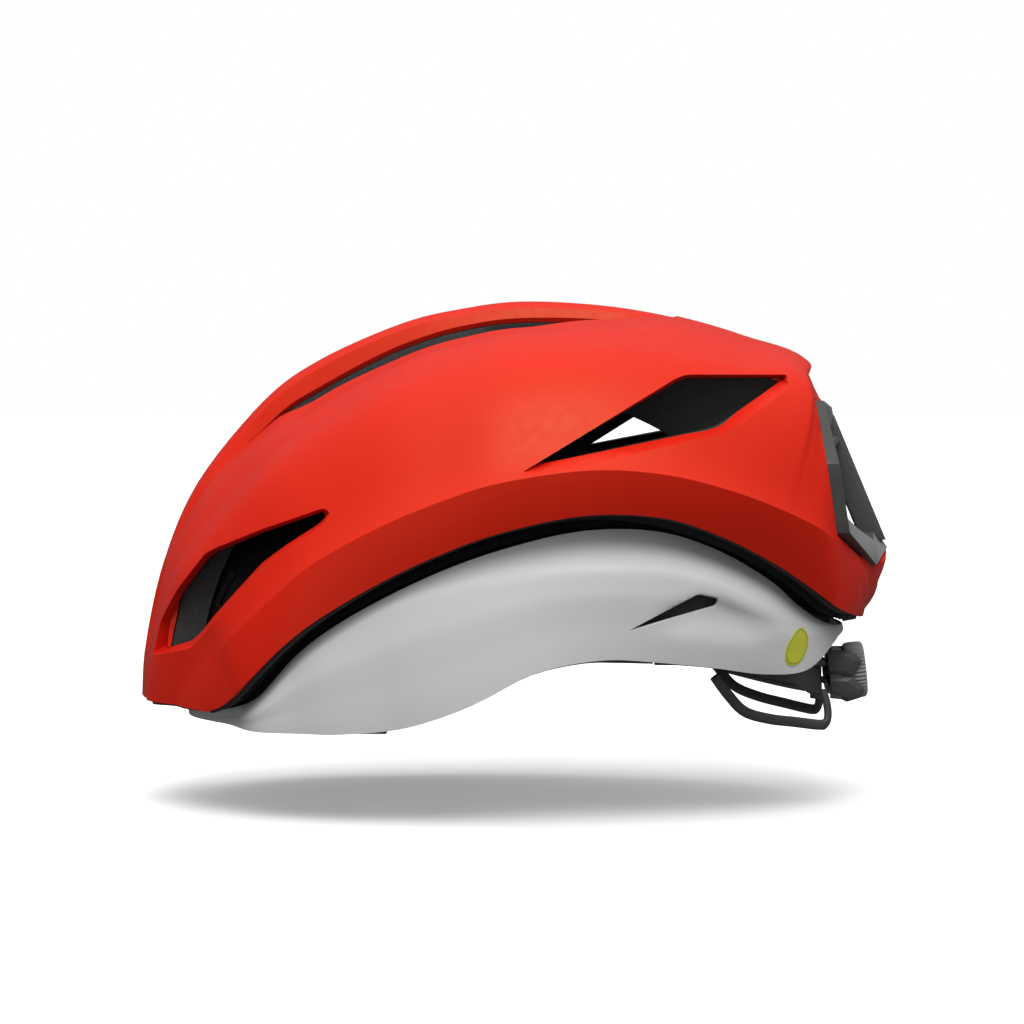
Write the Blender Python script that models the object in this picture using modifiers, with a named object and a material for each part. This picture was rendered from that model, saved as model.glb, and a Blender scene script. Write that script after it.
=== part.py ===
"""Aero road-cycling helmet of the ball-and-socket kind.

A red outer shell with its own black foam liner slips on the ball-shaped shell of a second, inner
liner.  A retention cradle hangs from two temple pins and a rear hanger, and a dial winds its belts.

Frame: +Z up, front towards -Y, the wearer's left towards +X, origin under the middle of the helmet
on the surface that it stands on.  Tables of points are in millimetres; MM turns them into metres.
"""
import math

import bmesh
import bpy
from mathutils import Matrix, Vector

MM = 0.001

# ---------------------------------------------------------------- driving dimensions (millimetres)
BALL_CENTRE = Vector((0.0, 2.0, 12.0))
BALL_RADIUS = 124.0             # in the plane x = 0
BALL_HALF_WIDTH = 96.0          # along X: the ball is a solid of revolution about X
SLIP_GAP = 1.0                  # between the ball and the outer liner
CAVITY = Vector((78.0, 104.0, 105.0))   # half axes of the head cavity
AIR_GROOVE = 6.0                # depth of the two long grooves in the cavity wall
SHELL_WALL = 1.8
BALL_WALL = 2.0
SKIN_GAP = 1.15                 # between two bonded pieces, room for their flat facets
FOOT_GAP = 0.9                  # between the ball shell and the lower shell
LINER_EDGE = 1.4                # how far the outer liner shows below the red rim
RIM_AIM = 0.93                  # how level the outer liner's bottom face is
TAIL_Z = 63.6                   # height of the helmet's rearmost line
LABEL_STATION = 12.8            # along the lower shell
SHARP_DEG = 35

# The outer skin runs from station 0 at the brow edge to the last station at the tail edge.
CROWN = [(0, -139, 8.5), (0, -137.6, 28), (0, -130.8, 58), (0, -117.7, 88), (0, -93.2, 118),
         (0, -72.2, 133.4), (0, -41.4, 147), (0, -18.8, 152.5), (0, 3.8, 155.2), (0, 33.8, 153.7),
         (0, 60.2, 149.3), (0, 86.5, 142), (0, 110.2, 133.4), (0, 121, 110.8), (0, 133.9, 80.7),
         (0, 140.2, 63.6), (0, 137.2, 50.6), (0, 129, 37.5)]
SHOULDER = [(27, -134.5, 8), (28, -132.7, 24.6), (33, -125, 51), (39, -115, 67.5), (47, -95, 90),
            (52, -78, 104.5), (59, -45, 124), (62, -20, 132.8), (63, 4, 138.3), (62, 33.9, 139.3),
            (58, 61.7, 137.1), (51, 86, 132.7), (43, 107, 129), (44, 113, 112), (47, 117, 88),
            (48, 119.5, 73), (30, 131, 57), (14, 130, 38)]
BELT_LINE = [(48, -121, 7.5), (55, -116, 16.5), (68, -105.5, 27), (78, -97, 35.5), (88, -80.5, 51),
             (94, -66, 62.5), (100, -43, 75), (102.5, -20, 84.5), (104, 0, 90.5), (102, 30, 94.6),
             (97.5, 56, 93), (90.5, 79, 87.3), (80, 98, 80), (70, 111, 73.5), (62, 117, 69),
             (54, 120.5, 65), (36, 129, 51), (22, 129.5, 38.8)]
RIM = [(64, -108.4, 6.5), (70, -103, 8.8), (76, -97.5, 13.3), (81, -92, 18.8), (88, -78.7, 31.9),
       (92, -64.3, 42.8), (96, -43, 55.3), (98, -21.9, 65.2), (99, -0.9, 72.7), (97.5, 28, 78.6),
       (92, 55.1, 77.6), (84, 76.4, 70.6), (72, 95, 60.8), (62, 108, 52), (54, 116.5, 45.6),
       (46, 122, 42), (36, 126, 40), (28, 128, 39.2)]
# A ridge runs over the crown between two air slots: where the skin steps down, station by station.
RIDGE_X = [13, 13, 13, 13, 13, 13, 13, 13, 13, 13, 13, 13, 13, 13, 13, 13, 9, 5]
WALL_X = [14.5, 14.5, 14.5, 14.5, 14.5, 14.5, 14.5, 14.5, 14.5, 14.5, 14.5, 14.5, 14.5, 14.5, 14.5,
          14.5, 10, 6]
SLOT_X = [21, 21, 21, 20, 21, 26, 28.5, 29, 29, 27, 21, 20, 20, 20, 20, 20, 14, 8]
WALL_DROP = [0, 0, 0, 0.3, 4.5, 7.4, 6.6, 5.6, 5.5, 4.8, 0, 0, 0, 0, 0, 0, 0, 0]
SLOT_DROP = [0, 0, 0, 1.5, 5, 8, 7.8, 7, 6.6, 3.5, 0, 0, 0, 0, 0, 0, 0, 0]
SLOT_STATIONS = (4.0, 9.4)
SIDE_BULGE = 0.105              # of the chord between shoulder and belt line
SKIRT_BULGE = 0.03

# The inner skin runs from the brow to the nape: foot of the ball, crease and bottom edge.
BALL_FOOT = [(0, -121.8, 5), (35, -113, 6), (51, -102, 8), (64.4, -90, 12.4), (74.2, -74.8, 28.9),
             (79.6, -61.8, 39.1), (84.8, -40.9, 51.3), (86.5, -20, 61.1), (85.5, 1, 68.3),
             (80.7, 28, 74), (73.1, 54, 73.2), (65.5, 74.5, 66.5), (56, 92.6, 56),
             (45.8, 105.4, 46.4), (31.8, 115.6, 40), (0, 123, 36.6)]
CREASE = [(0, -121.8, 2.9), (35.8, -112.5, 3.4), (53, -100.5, 4.5), (75.5, -89.5, 9.2), (83, -73.5, 25),
          (87, -60.5, 34.5), (91, -39.5, 46.5), (93, -18, 53), (93.2, 3, 57), (92.8, 28, 60.2),
          (89, 53.2, 60), (83, 73, 56), (72, 91, 47.5), (57, 105, 39), (33, 117.5, 36), (0, 123.3, 34.6)]
HEM = [(0, -121.5, 1.2), (35.8, -112, 1.2), (54, -101, 1.0), (76, -90, 0.5), (83, -73, 0.5),
       (87.5, -58, 0.7), (90.5, -35, 3.4), (92, -12, 11.5), (91.5, 10, 22.5), (90.5, 33, 27.2),
       (86.5, 53, 26.4), (78.5, 74, 23.8), (67.5, 92, 20.8), (54.5, 108, 21.4), (30, 119.5, 30),
       (0, 123.4, 33)]

# Vents, as outlines seen from the side (y, z), from above (x, y) or from behind (x, z).
BROW_VENT = [(-128.5, 24.5), (-126, 38), (-119.4, 49.5), (-109, 62), (-86.2, 73), (-63, 80.2),
             (-77, 66.4), (-98.3, 47.4), (-114, 30)]
SIDE_VENT = [(9, 95.4), (61.5, 126.3), (100, 126.6), (93, 120.4), (76, 108.6), (70.3, 107.4)]
THROUGH_VENT = [(22, 97.5), (30, 103), (48, 114), (62, 119), (62, 103), (50, 99)]
INTAKE = [(5, 24), (19, 26), (23, 46), (18, 58), (5, 62)]
REAR_PORT = [(0, 121.5), (39, 119), (45, 75), (13, 58.5), (0, 58.5)]
SLIT = [(42, 38), (67.5, 51.2), (76, 49.2), (74.6, 45.4), (46, 37.6)]

# Retention: the belts lie on a cone whose axis leans back, and slide round it.
BELT_REAR = Vector((0.0, 118.0, 16.0))
BELT_TILT = math.radians(17)
BELT_RADIUS = 70.0
CONE_LEAN = math.radians(23)
BELT_HEIGHT = 10.6
RACK_HEIGHT = 2.4
BELT_THICK = 1.5
PINION_RADIUS = 2.6
DIAL_TILT = math.radians(6)
DIAL_AXIS = Vector((0.0, math.cos(DIAL_TILT), math.sin(DIAL_TILT)))
DIAL_CENTRE = BELT_REAR + DIAL_AXIS * 10.7
DIAL_RADIUS = 10.6
DIAL_WIDTH = 7.6
DIAL_RIBS = 36
TEMPLE = Vector((70.0, 40.0, 40.0))
RACK_END = 31                   # degrees round from the rear, where a belt gets its full height
HANGER_TOP = Vector((0.0, 85.0, 78.0))
HANGER_FOOT = Vector((0.0, 109.5, 21.5))
HANGER_WIDTH = 8.0
SLIDER_RADIUS = 2.2
WING_RADIUS = 1.5
WING_PATH = [(61.5, 78.5, 19.5), (58, 82.5, 11.5), (53, 87.5, 5.2), (46, 95, 2.6), (38, 105, 1.7),
             (31.5, 114, 1.5), (29.8, 116, 2.4), (29, 115.8, 5), (28.2, 114.2, 8.6), (27.4, 112.6, 11)]
ELASTOMERS = {"front": (68, -32), "rear": (64, 52)}
ELASTOMER_RADIUS = 3.5
ELASTOMER_ROOM = 9.2
ANCHORS = {"front": (77, -50, 3.2), "rear": (75.4, 60, 27.8)}
ANCHOR_SIZE = Vector((5.4, 15.0, 5.0))

RED, BLACK, GREY = (0.72, 0.035, 0.018), (0.012, 0.012, 0.013), (0.50, 0.51, 0.51)
CHARCOAL, FOAM, STEEL = (0.045, 0.047, 0.047), (0.04, 0.04, 0.042), (0.55, 0.55, 0.56)
LABEL, PAD, RUBBER = (0.62, 0.66, 0.03), (0.02, 0.02, 0.022), (0.03, 0.03, 0.03)


# ---------------------------------------------------------------- scene and object helpers
def clear_scene():
    for item in list(bpy.data.objects):
        bpy.data.objects.remove(item, do_unlink=True)


def collection(name):
    group = bpy.data.collections.new(name)
    bpy.context.scene.collection.children.link(group)
    return group


def material(name, colour, roughness, metallic=0.0):
    shade = bpy.data.materials.new(name)
    shade.use_nodes = True
    shader = shade.node_tree.nodes["Principled BSDF"]
    shader.inputs["Base Color"].default_value = (*colour, 1.0)
    shader.inputs["Roughness"].default_value = roughness
    shader.inputs["Metallic"].default_value = metallic
    return shade


def mesh_object(name, bm, shade=None, group=None):
    """Turn a bmesh in millimetres into an object in metres."""
    bmesh.ops.scale(bm, vec=(MM, MM, MM), verts=bm.verts)
    mesh = bpy.data.meshes.new(name)
    bm.to_mesh(mesh)
    bm.free()
    mesh.shade_smooth()
    mesh.set_sharp_from_angle(angle=math.radians(SHARP_DEG))
    item = bpy.data.objects.new(name, mesh)
    (group or PARTS).objects.link(item)
    if shade:
        mesh.materials.append(shade)
    return item


def cutter(name, bm):
    item = mesh_object(name, bm, group=CUTTERS)
    item.hide_render = True
    item.display_type = "WIRE"
    return item


def cut(item, *tools, solver="EXACT"):
    for tool in tools:
        step = item.modifiers.new(tool.name, "BOOLEAN")
        step.operation = "DIFFERENCE"
        step.object = tool
        step.solver = solver


def mirror(item):
    step = item.modifiers.new("Mirror", "MIRROR")
    step.use_axis[0] = True
    step.merge_threshold = 0.00001


# ---------------------------------------------------------------- curves and surfaces
def along(points, u):
    """A smooth curve through the points; u counts them and may fall between two."""
    last = len(points) - 1
    i = min(int(u), last - 1)
    t = u - i
    p0, p1, p2, p3 = (Vector(points[min(max(k, 0), last)]) for k in (i - 1, i, i + 1, i + 2))
    return 0.5 * (2 * p1 + (p2 - p0) * t + (2 * p0 - 5 * p1 + 4 * p2 - p3) * t * t
                  + (3 * p1 - p0 - 3 * p2 + p3) * t ** 3)


def number_along(values, u):
    i = min(int(u), len(values) - 2)
    t = u - i
    return values[i] + (values[i + 1] - values[i]) * t * t * (3 - 2 * t)


def on_ball(point, grow=0.0):
    """The point of the ball, grown by a few millimetres, on the ray from its centre."""
    ray = point - BALL_CENTRE
    flat = ray.x / (BALL_HALF_WIDTH + grow)
    across = math.hypot(ray.y, ray.z) / (BALL_RADIUS + grow)
    return BALL_CENTRE + ray / math.hypot(flat, across)


def toward_ball(point, grow, aim):
    """Where a line from the point meets the ball: aim 0 heads for its centre, 1 straight across."""
    ray = point - BALL_CENTRE
    step = Vector((-ray.x, -ray.y * (1 - aim), -ray.z * (1 - aim)))
    across, ring = (BALL_HALF_WIDTH + grow) ** 2, (BALL_RADIUS + grow) ** 2
    a = step.x ** 2 / across + (step.y ** 2 + step.z ** 2) / ring
    b = ray.x * step.x / across + (ray.y * step.y + ray.z * step.z) / ring
    c = ray.x ** 2 / across + (ray.y ** 2 + ray.z ** 2) / ring - 1
    return point + step * ((-b - math.sqrt(max(b * b - a * c, 0))) / a)


def in_cavity(point, shrink=0.0):
    ray = point - BALL_CENTRE
    half = [side - shrink for side in CAVITY]
    return BALL_CENTRE + ray / math.sqrt(sum((ray[k] / half[k]) ** 2 for k in range(3)))


def crown_point(u, x, drop=0.0):
    """The skin between crown and shoulder at the width x, lowered by drop."""
    top, edge = along(CROWN, u), along(SHOULDER, u)
    s = x / edge.x
    point = Vector((x, top.y + (edge.y - top.y) * s * s, top.z + (edge.z - top.z) * s * s))
    return point - drop * (Vector((0, point.y, point.z)) - BALL_CENTRE).normalized()


def bowed(start, end, t, bulge):
    middle = start.lerp(end, t)
    outward = Vector((1.6 * middle.x, middle.y - BALL_CENTRE.y, middle.z - BALL_CENTRE.z))
    return middle + outward.normalized() * (end - start).length * bulge * 4 * t * (1 - t)


def skin_row(u, top_steps, side_steps, skirt_steps):
    """Points of the outer skin at station u, from the crown down to the rim."""
    edge, belt, rim = along(SHOULDER, u), along(BELT_LINE, u), along(RIM, u)
    slot_x, slot_drop = number_along(SLOT_X, u), number_along(SLOT_DROP, u)
    row = [crown_point(u, 0), crown_point(u, number_along(RIDGE_X, u)),
           crown_point(u, number_along(WALL_X, u), number_along(WALL_DROP, u)),
           crown_point(u, slot_x, slot_drop)]
    for k in range(1, top_steps + 1):
        t = k / top_steps
        fade = 1 - t * t * (3 - 2 * t)
        row.append(crown_point(u, slot_x + (edge.x - slot_x) * t, slot_drop * fade))
    row += [bowed(edge, belt, k / side_steps, SIDE_BULGE) for k in range(1, side_steps + 1)]
    row += [bowed(belt, rim, k / skirt_steps, SKIRT_BULGE) for k in range(1, skirt_steps + 1)]
    return row


def stations(points, per_gap):
    return [k / per_gap for k in range((len(points) - 1) * per_gap + 1)]


def normals(grid):
    """Outward unit normals of a grid of points whose first edges lie in the plane x = 0."""
    total = [[Vector() for _ in row] for row in grid]
    for i in range(len(grid) - 1):
        for j in range(len(grid[0]) - 1):
            corners = [(i, j), (i + 1, j), (i + 1, j + 1), (i, j + 1)]
            a, b, c, d = (grid[m][n] for m, n in corners)
            face = (c - a).cross(d - b)
            if face.dot((a + c) / 2 - BALL_CENTRE) < 0:
                face.negate()
            for m, n in corners:
                total[m][n] += face
    for row, sums in zip(grid, total):
        for j in range(len(row)):
            twins = [k for k in range(len(row)) if (row[k] - row[j]).length < 0.01]
            direction = sum((sums[k] for k in twins), Vector())
            if row[j].x < 0.01:
                direction.x = 0
            for k in twins:
                sums[k] = direction.copy()
        for summed in sums:
            summed.normalize()
    return total


def inset(grid, depth):
    return [[point - normal * depth for point, normal in zip(row, directions)]
            for row, directions in zip(grid, normals(grid))]


def sunk(grid, depth):
    """A grid on the ball, moved to a ball smaller by depth."""
    return [[on_ball(point, -depth) for point in row] for row in grid]


def thick_sheet(name, outer, inner, shade, holes=()):
    """A closed half shell between two grids, mirrored; holes are the (i, j) faces left open."""
    bm = bmesh.new()
    sheets = [[[bm.verts.new(p) for p in row] for row in grid] for grid in (outer, inner)]
    rims = {}
    for i in range(len(outer) - 1):
        for j in range(len(outer[0]) - 1):
            if (i, j) in holes:
                continue
            ring = [(i, j), (i, j + 1), (i + 1, j + 1), (i + 1, j)]
            bm.faces.new([sheets[0][m][n] for m, n in ring])
            bm.faces.new([sheets[1][m][n] for m, n in reversed(ring)])
            for a, b in zip(ring, ring[1:] + ring[:1]):
                if (b, a) in rims:
                    del rims[(b, a)]
                else:
                    rims[(a, b)] = True
    for a, b in rims:
        if max(outer[a[0]][a[1]].x, outer[b[0]][b[1]].x) > 0.01:
            bm.faces.new([sheets[0][b[0]][b[1]], sheets[0][a[0]][a[1]],
                          sheets[1][a[0]][a[1]], sheets[1][b[0]][b[1]]])
    bmesh.ops.remove_doubles(bm, verts=bm.verts, dist=0.02)
    item = mesh_object(name, bm, shade)
    mirror(item)
    return item


# ---------------------------------------------------------------- solids
def prism_mesh(outline, axis, low, high):
    """An outline pushed along one axis; its two numbers are the other two, in X, Y, Z order."""
    bm = bmesh.new()
    corners = []
    for pair in outline:
        place = list(pair)
        place.insert(axis, low)
        corners.append(bm.verts.new(place))
    push = Vector((0, 0, 0))
    push[axis] = high - low
    new = bmesh.ops.extrude_face_region(bm, geom=[bm.faces.new(corners)])["geom"]
    bmesh.ops.translate(bm, vec=push, verts=[v for v in new if isinstance(v, bmesh.types.BMVert)])
    bmesh.ops.recalc_face_normals(bm, faces=bm.faces)
    return bm


def on_both_sides(bm):
    """Add the mirror image of a bmesh that lies at +X."""
    copy = bmesh.ops.duplicate(bm, geom=bm.verts[:] + bm.edges[:] + bm.faces[:])["geom"]
    bmesh.ops.scale(bm, vec=(-1, 1, 1), verts=[v for v in copy if isinstance(v, bmesh.types.BMVert)])
    bmesh.ops.recalc_face_normals(bm, faces=bm.faces)
    return bm


def box_mesh(centre, size, turn=Matrix.Identity(4)):
    bm = bmesh.new()
    place = Matrix.Translation(centre) @ turn @ Matrix.Diagonal((*size, 1))
    bmesh.ops.create_cube(bm, size=1, matrix=place)
    return bm


def disc_mesh(centre, axis, radius, length, segments=24, radius_end=None):
    """A cylinder or cone centred on a point, along an axis."""
    bm = bmesh.new()
    turn = Vector(axis).to_track_quat("Z", "Y").to_matrix().to_4x4()
    bmesh.ops.create_cone(bm, cap_ends=True, segments=segments, radius1=radius,
                          radius2=radius if radius_end is None else radius_end, depth=length,
                          matrix=Matrix.Translation(centre) @ turn)
    return bm


def loft(name, sections, shade, ring=False, half=False):
    """A solid through sections of equal length; a ring joins its ends, a half leaves them open."""
    bm = bmesh.new()
    loops = [[bm.verts.new(p) for p in section] for section in sections]
    pairs = list(zip(loops, loops[1:] + loops[:1])) if ring else list(zip(loops, loops[1:]))
    for first, second in pairs:
        for k in range(len(first)):
            n = (k + 1) % len(first)
            bm.faces.new([first[k], first[n], second[n], second[k]])
    if not ring and not half:
        bm.faces.new(loops[0])
        bm.faces.new(list(reversed(loops[-1])))
    bmesh.ops.recalc_face_normals(bm, faces=bm.faces)
    item = mesh_object(name, bm, shade)
    if half:
        mirror(item)
    return item


def tube(name, points, radius, shade):
    """A welded mesh tube along a smooth path."""
    route = stations(points, 3)
    data = bpy.data.curves.new(name, "CURVE")
    data.dimensions = "3D"
    data.bevel_depth = radius * MM
    data.bevel_resolution = 2
    data.use_fill_caps = True
    spline = data.splines.new("POLY")
    spline.points.add(len(route) - 1)
    for knot, u in zip(spline.points, route):
        knot.co = (*(along(points, u) * MM), 1)
    curve = bpy.data.objects.new(name + "_route", data)
    PARTS.objects.link(curve)
    bpy.context.view_layer.update()
    mesh = bpy.data.meshes.new_from_object(curve.evaluated_get(bpy.context.evaluated_depsgraph_get()))
    bpy.data.objects.remove(curve, do_unlink=True)
    bm = bmesh.new()
    bm.from_mesh(mesh)
    bmesh.ops.remove_doubles(bm, verts=bm.verts, dist=0.00001)
    bmesh.ops.recalc_face_normals(bm, faces=bm.faces)
    bmesh.ops.scale(bm, vec=(1 / MM, 1 / MM, 1 / MM), verts=bm.verts)
    return mesh_object(name, bm, shade)


def patch(name, longitudes, latitudes, thickness, shade, steps=(8, 4), gap=1.8):
    """A pad on the cavity wall between two longitudes (0 is the brow) and two latitudes."""
    faces = []
    for shrink in (gap, gap + thickness):
        grid = []
        for i in range(steps[0] + 1):
            lon = math.radians(longitudes[0] + (longitudes[1] - longitudes[0]) * i / steps[0])
            row = []
            for j in range(steps[1] + 1):
                lat = math.radians(latitudes[0] + (latitudes[1] - latitudes[0]) * j / steps[1])
                ray = Vector((math.sin(lon) * math.cos(lat), -math.cos(lon) * math.cos(lat),
                              math.sin(lat)))
                row.append(in_cavity(BALL_CENTRE + ray, shrink))
            grid.append(row)
        faces.append(grid)
    sections = []
    for outer_row, inner_row in zip(*faces):
        sections.append(outer_row + list(reversed(inner_row)))
    return loft(name, sections, shade)


# ---------------------------------------------------------------- the cutters
def vent_cutters():
    """The openings that pass through the outer shell and its liner, both sides at once."""
    port = REAR_PORT + [(-x, z) for x, z in reversed(REAR_PORT) if x > 0]
    return {
        "brow_vent": cutter("brow_vent", on_both_sides(prism_mesh(BROW_VENT, 0, 36, 110))),
        "side_vent": cutter("side_vent", on_both_sides(prism_mesh(SIDE_VENT, 0, 47, 120))),
        "intake": cutter("intake", on_both_sides(prism_mesh(INTAKE, 1, -155, -98))),
        "rear_port": cutter("rear_port", prism_mesh(port, 1, 84, 160)),
        "through_vent": cutter("through_vent", prism_mesh(THROUGH_VENT, 0, -110, 110)),
        "slit": cutter("slit", on_both_sides(prism_mesh(SLIT, 0, 74, 120))),
    }


def duct_cutters():
    """Openings through the inner half only: brow ducts, slots over the crown and exhaust."""
    slot = [(17, -84), (25, -66), (27, -20), (25, 14), (19, 34), (16, 14), (16, -66)]
    exhaust = [(5, 64), (38, 74), (34, 104), (5, 104)]
    brow = [(48, 36), (56, 52), (40, 56), (36, 44)]
    return {
        "crown_duct": cutter("crown_duct", on_both_sides(prism_mesh(slot, 2, 100, 160))),
        "exhaust_duct": cutter("exhaust_duct", on_both_sides(prism_mesh(exhaust, 1, 60, 140))),
        "brow_duct": cutter("brow_duct", on_both_sides(prism_mesh(brow, 1, -130, -60))),
        "intake_duct": cutter("intake_duct", on_both_sides(prism_mesh(
            [(8, 28), (17, 29), (20, 45), (16, 54), (8, 56)], 1, -130, -80))),
    }


def belt_frame():
    """Centre and directions of the belts' cone: its axis, rearwards and to the wearer's left."""
    axis = Vector((0, math.sin(BELT_TILT), math.cos(BELT_TILT)))
    rear = Vector((0, math.cos(BELT_TILT), -math.sin(BELT_TILT)))
    return BELT_REAR - rear * BELT_RADIUS, axis, rear


def on_belt(angle, height, depth):
    """A point of the belt cone: angle from the rear, height up the strip, depth outwards."""
    centre, axis, rear = belt_frame()
    radius = BELT_RADIUS - height * math.sin(CONE_LEAN) + depth * math.cos(CONE_LEAN)
    rise = height * math.cos(CONE_LEAN) + depth * math.sin(CONE_LEAN)
    around = rear * math.cos(angle) + Vector((1, 0, 0)) * math.sin(angle)
    return centre + around * radius + axis * rise


def strip(name, start_deg, end_deg, heights, depths, shade, step_deg=6):
    """A bar on the belt cone; heights may be a function of the angle."""
    steps = max(2, round(abs(end_deg - start_deg) / step_deg))
    sections = []
    for k in range(steps + 1):
        degrees = start_deg + (end_deg - start_deg) * k / steps
        low, high = heights(degrees) if callable(heights) else heights
        angle = math.radians(degrees)
        sections.append([on_belt(angle, low, depths[0]), on_belt(angle, high, depths[0]),
                         on_belt(angle, high, depths[1]), on_belt(angle, low, depths[1])])
    return loft(name, sections, shade)


# ---------------------------------------------------------------- outer, slipping half
def outer_grid(per_gap=2):
    return [skin_row(u, 2, 2, 1) for u in stations(CROWN, per_gap)]


def slot_faces(per_gap=2):
    first, last = (round(u * per_gap) for u in SLOT_STATIONS)
    return {(i, 2) for i in range(first, last)}


def build_outer_shell(vents):
    grid = outer_grid()
    shell = thick_sheet("outer_shell", grid, inset(grid, SHELL_WALL), MATERIALS["red"],
                        slot_faces())
    cut(shell, *(vents[name] for name in ("brow_vent", "side_vent", "intake", "rear_port")))


def build_outer_liner(vents):
    grid = outer_grid()
    outer = inset(grid, SHELL_WALL + SKIN_GAP)
    for i, row in enumerate(outer):
        before, after = grid[max(i - 1, 0)][-1], grid[min(i + 1, len(grid) - 1)][-1]
        run = (after - before).normalized()
        row.append(row[-1] + Vector((0, run.z, -run.y)) * LINER_EDGE)
    for end, beside in ((outer[0], outer[1]), (outer[-1], outer[-2])):
        for k in range(len(end) - 1):
            end[k] = end[k] + (end[k] - beside[k]).normalized() * LINER_EDGE
    last = len(outer[0]) - 1
    inner = [[toward_ball(point, SLIP_GAP, RIM_AIM * (j / last) ** 3) for j, point in enumerate(row)]
             for row in outer]
    liner = thick_sheet("outer_liner", outer, inner, MATERIALS["black"], slot_faces())
    cut(liner, *(vents[name] for name in ("brow_vent", "side_vent", "intake", "rear_port")))
    rooms = bmesh.new()
    for x, y in ELASTOMERS.values():
        spot = elastomer_spot(x, y)
        away = (spot - BALL_CENTRE).normalized()
        turn = away.to_track_quat("Z", "Y").to_matrix().to_4x4()
        bmesh.ops.create_cone(rooms, cap_ends=True, segments=16, radius1=ELASTOMER_ROOM,
                              radius2=ELASTOMER_ROOM, depth=12,
                              matrix=Matrix.Translation(spot) @ turn)
    cut(liner, cutter("elastomer_rooms", on_both_sides(rooms)))


def rear_face_y(x, z):
    """Where the rear port's frame faces the rear: it leans back as far down as the tail's edge."""
    lean = 121 + (110.8 - max(z, TAIL_Z)) * 0.4174 - max(0, TAIL_Z - z) * 0.3
    return lean - (0.0031 + (118 - z) * 0.000124) * x * x


def bezel_section(edge, inner):
    """A bar's section between two points (x, z) of the port, from its rear face inwards."""
    (x1, z1), (x2, z2) = edge, inner
    outer_y, inner_y = rear_face_y(x1, z1) + 0.3, rear_face_y(x2, z2) - 0.6
    return [Vector((x1, outer_y, z1)), Vector((x2, inner_y, z2)),
            Vector((x2, inner_y - 9, z2)), Vector((x1, outer_y - 9, z1))]


def build_rear_port():
    edge = [(0, 120.8), (38.3, 118.3), (44.1, 75.3), (12.6, 59.2), (0, 59.2)]
    inner = [(0, 114.5), (33.5, 112.8), (38, 78.5), (11.2, 65.2), (0, 65.2)]
    bars = []
    for k in range(len(edge) - 1):
        for t in (0.0, 0.5):
            bars.append([edge[k][n] + (edge[k + 1][n] - edge[k][n]) * t for n in (0, 1)]
                        + [inner[k][n] + (inner[k + 1][n] - inner[k][n]) * t for n in (0, 1)])
    bars.append([*edge[-1], *inner[-1]])
    sections = [bezel_section(bar[:2], bar[2:]) for bar in bars]
    loft("rear_port_bezel", sections, MATERIALS["charcoal"], half=True)
    spine = []
    for z in (113.0, 100, 84, 66):
        y = rear_face_y(0, z)
        half = 4.2 + (113.0 - z) * 0.03
        spine.append([Vector((-half, y, z)), Vector((half, y, z)),
                      Vector((half, y - 9, z + 0.4)), Vector((-half, y - 9, z + 0.4))])
    loft("rear_spine", spine, MATERIALS["charcoal"])


# ---------------------------------------------------------------- inner half
def inner_guides(u):
    """Foot of the ball, crease and bottom edge of the inner skin at station u."""
    guides = [on_ball(along(BALL_FOOT, u))]
    for points in (CREASE, HEM):
        point = along(points, u)
        shell = on_ball(point)
        inside = (point - BALL_CENTRE).length < (shell - BALL_CENTRE).length
        guides.append(shell if inside else point)
    return guides


def ball_row(u, steps):
    """Points on the ball from the crown line down to its foot at station u."""
    foot = inner_guides(u)[0]
    flat = Vector((0, foot.y - BALL_CENTRE.y, foot.z - BALL_CENTRE.z)).normalized()
    row = []
    for k in range(steps + 1):
        angle = math.asin(min(1, foot.x / BALL_HALF_WIDTH)) * k / steps
        x = Vector((BALL_HALF_WIDTH * math.sin(angle), 0, 0))
        row.append(BALL_CENTRE + x + flat * BALL_RADIUS * math.cos(angle))
    return row


def inner_grids(per_gap=2, ball_steps=6):
    """The ball's grid and the lower skin's grid, which share the foot line."""
    ball, lower = [], []
    for u in stations(BALL_FOOT, per_gap):
        foot, crease, hem = inner_guides(u)
        ball.append(ball_row(u, ball_steps))
        lower.append([foot, crease, bowed(crease, hem, 0.5, 0.04), hem])
    return ball, lower


def build_ball_shell(vents, ducts):
    ball, _ = inner_grids()
    shell = thick_sheet("ball_shell", ball, sunk(ball, BALL_WALL), MATERIALS["black"])
    cut(shell, vents["through_vent"], *ducts.values(), solver="MANIFOLD")


def build_lower_shell(vents):
    _, lower = inner_grids()
    grid = [[row[0] + (row[1] - row[0]).normalized() * FOOT_GAP] + row[1:] for row in lower]
    shell = thick_sheet("lower_shell", grid, inset(grid, BALL_WALL), MATERIALS["grey"])
    cut(shell, vents["slit"], cutter("belt_room_outer", belt_room(2.5)))


def belt_room(margin):
    """The space under and inside the belts, with room for the cradle to rise and slide."""
    centre, axis, _ = belt_frame()
    return disc_mesh(centre + axis * (-18 + 6), axis, BELT_RADIUS + margin, 48, 48)


def hanger_rooms():
    """Room in the inner liner for the hanger's strip to swing in, and for its track."""
    slope = (HANGER_TOP - HANGER_FOOT).normalized()
    up, wall = track_directions()
    middle = (HANGER_TOP + HANGER_FOOT) / 2
    return [cutter("hanger_room", box_mesh(middle, (18, 11, 78), turned_to(slope))),
            cutter("track_room", box_mesh(HANGER_TOP + wall * 0.6, (18, 13, 36), turned_to(up)))]


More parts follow.
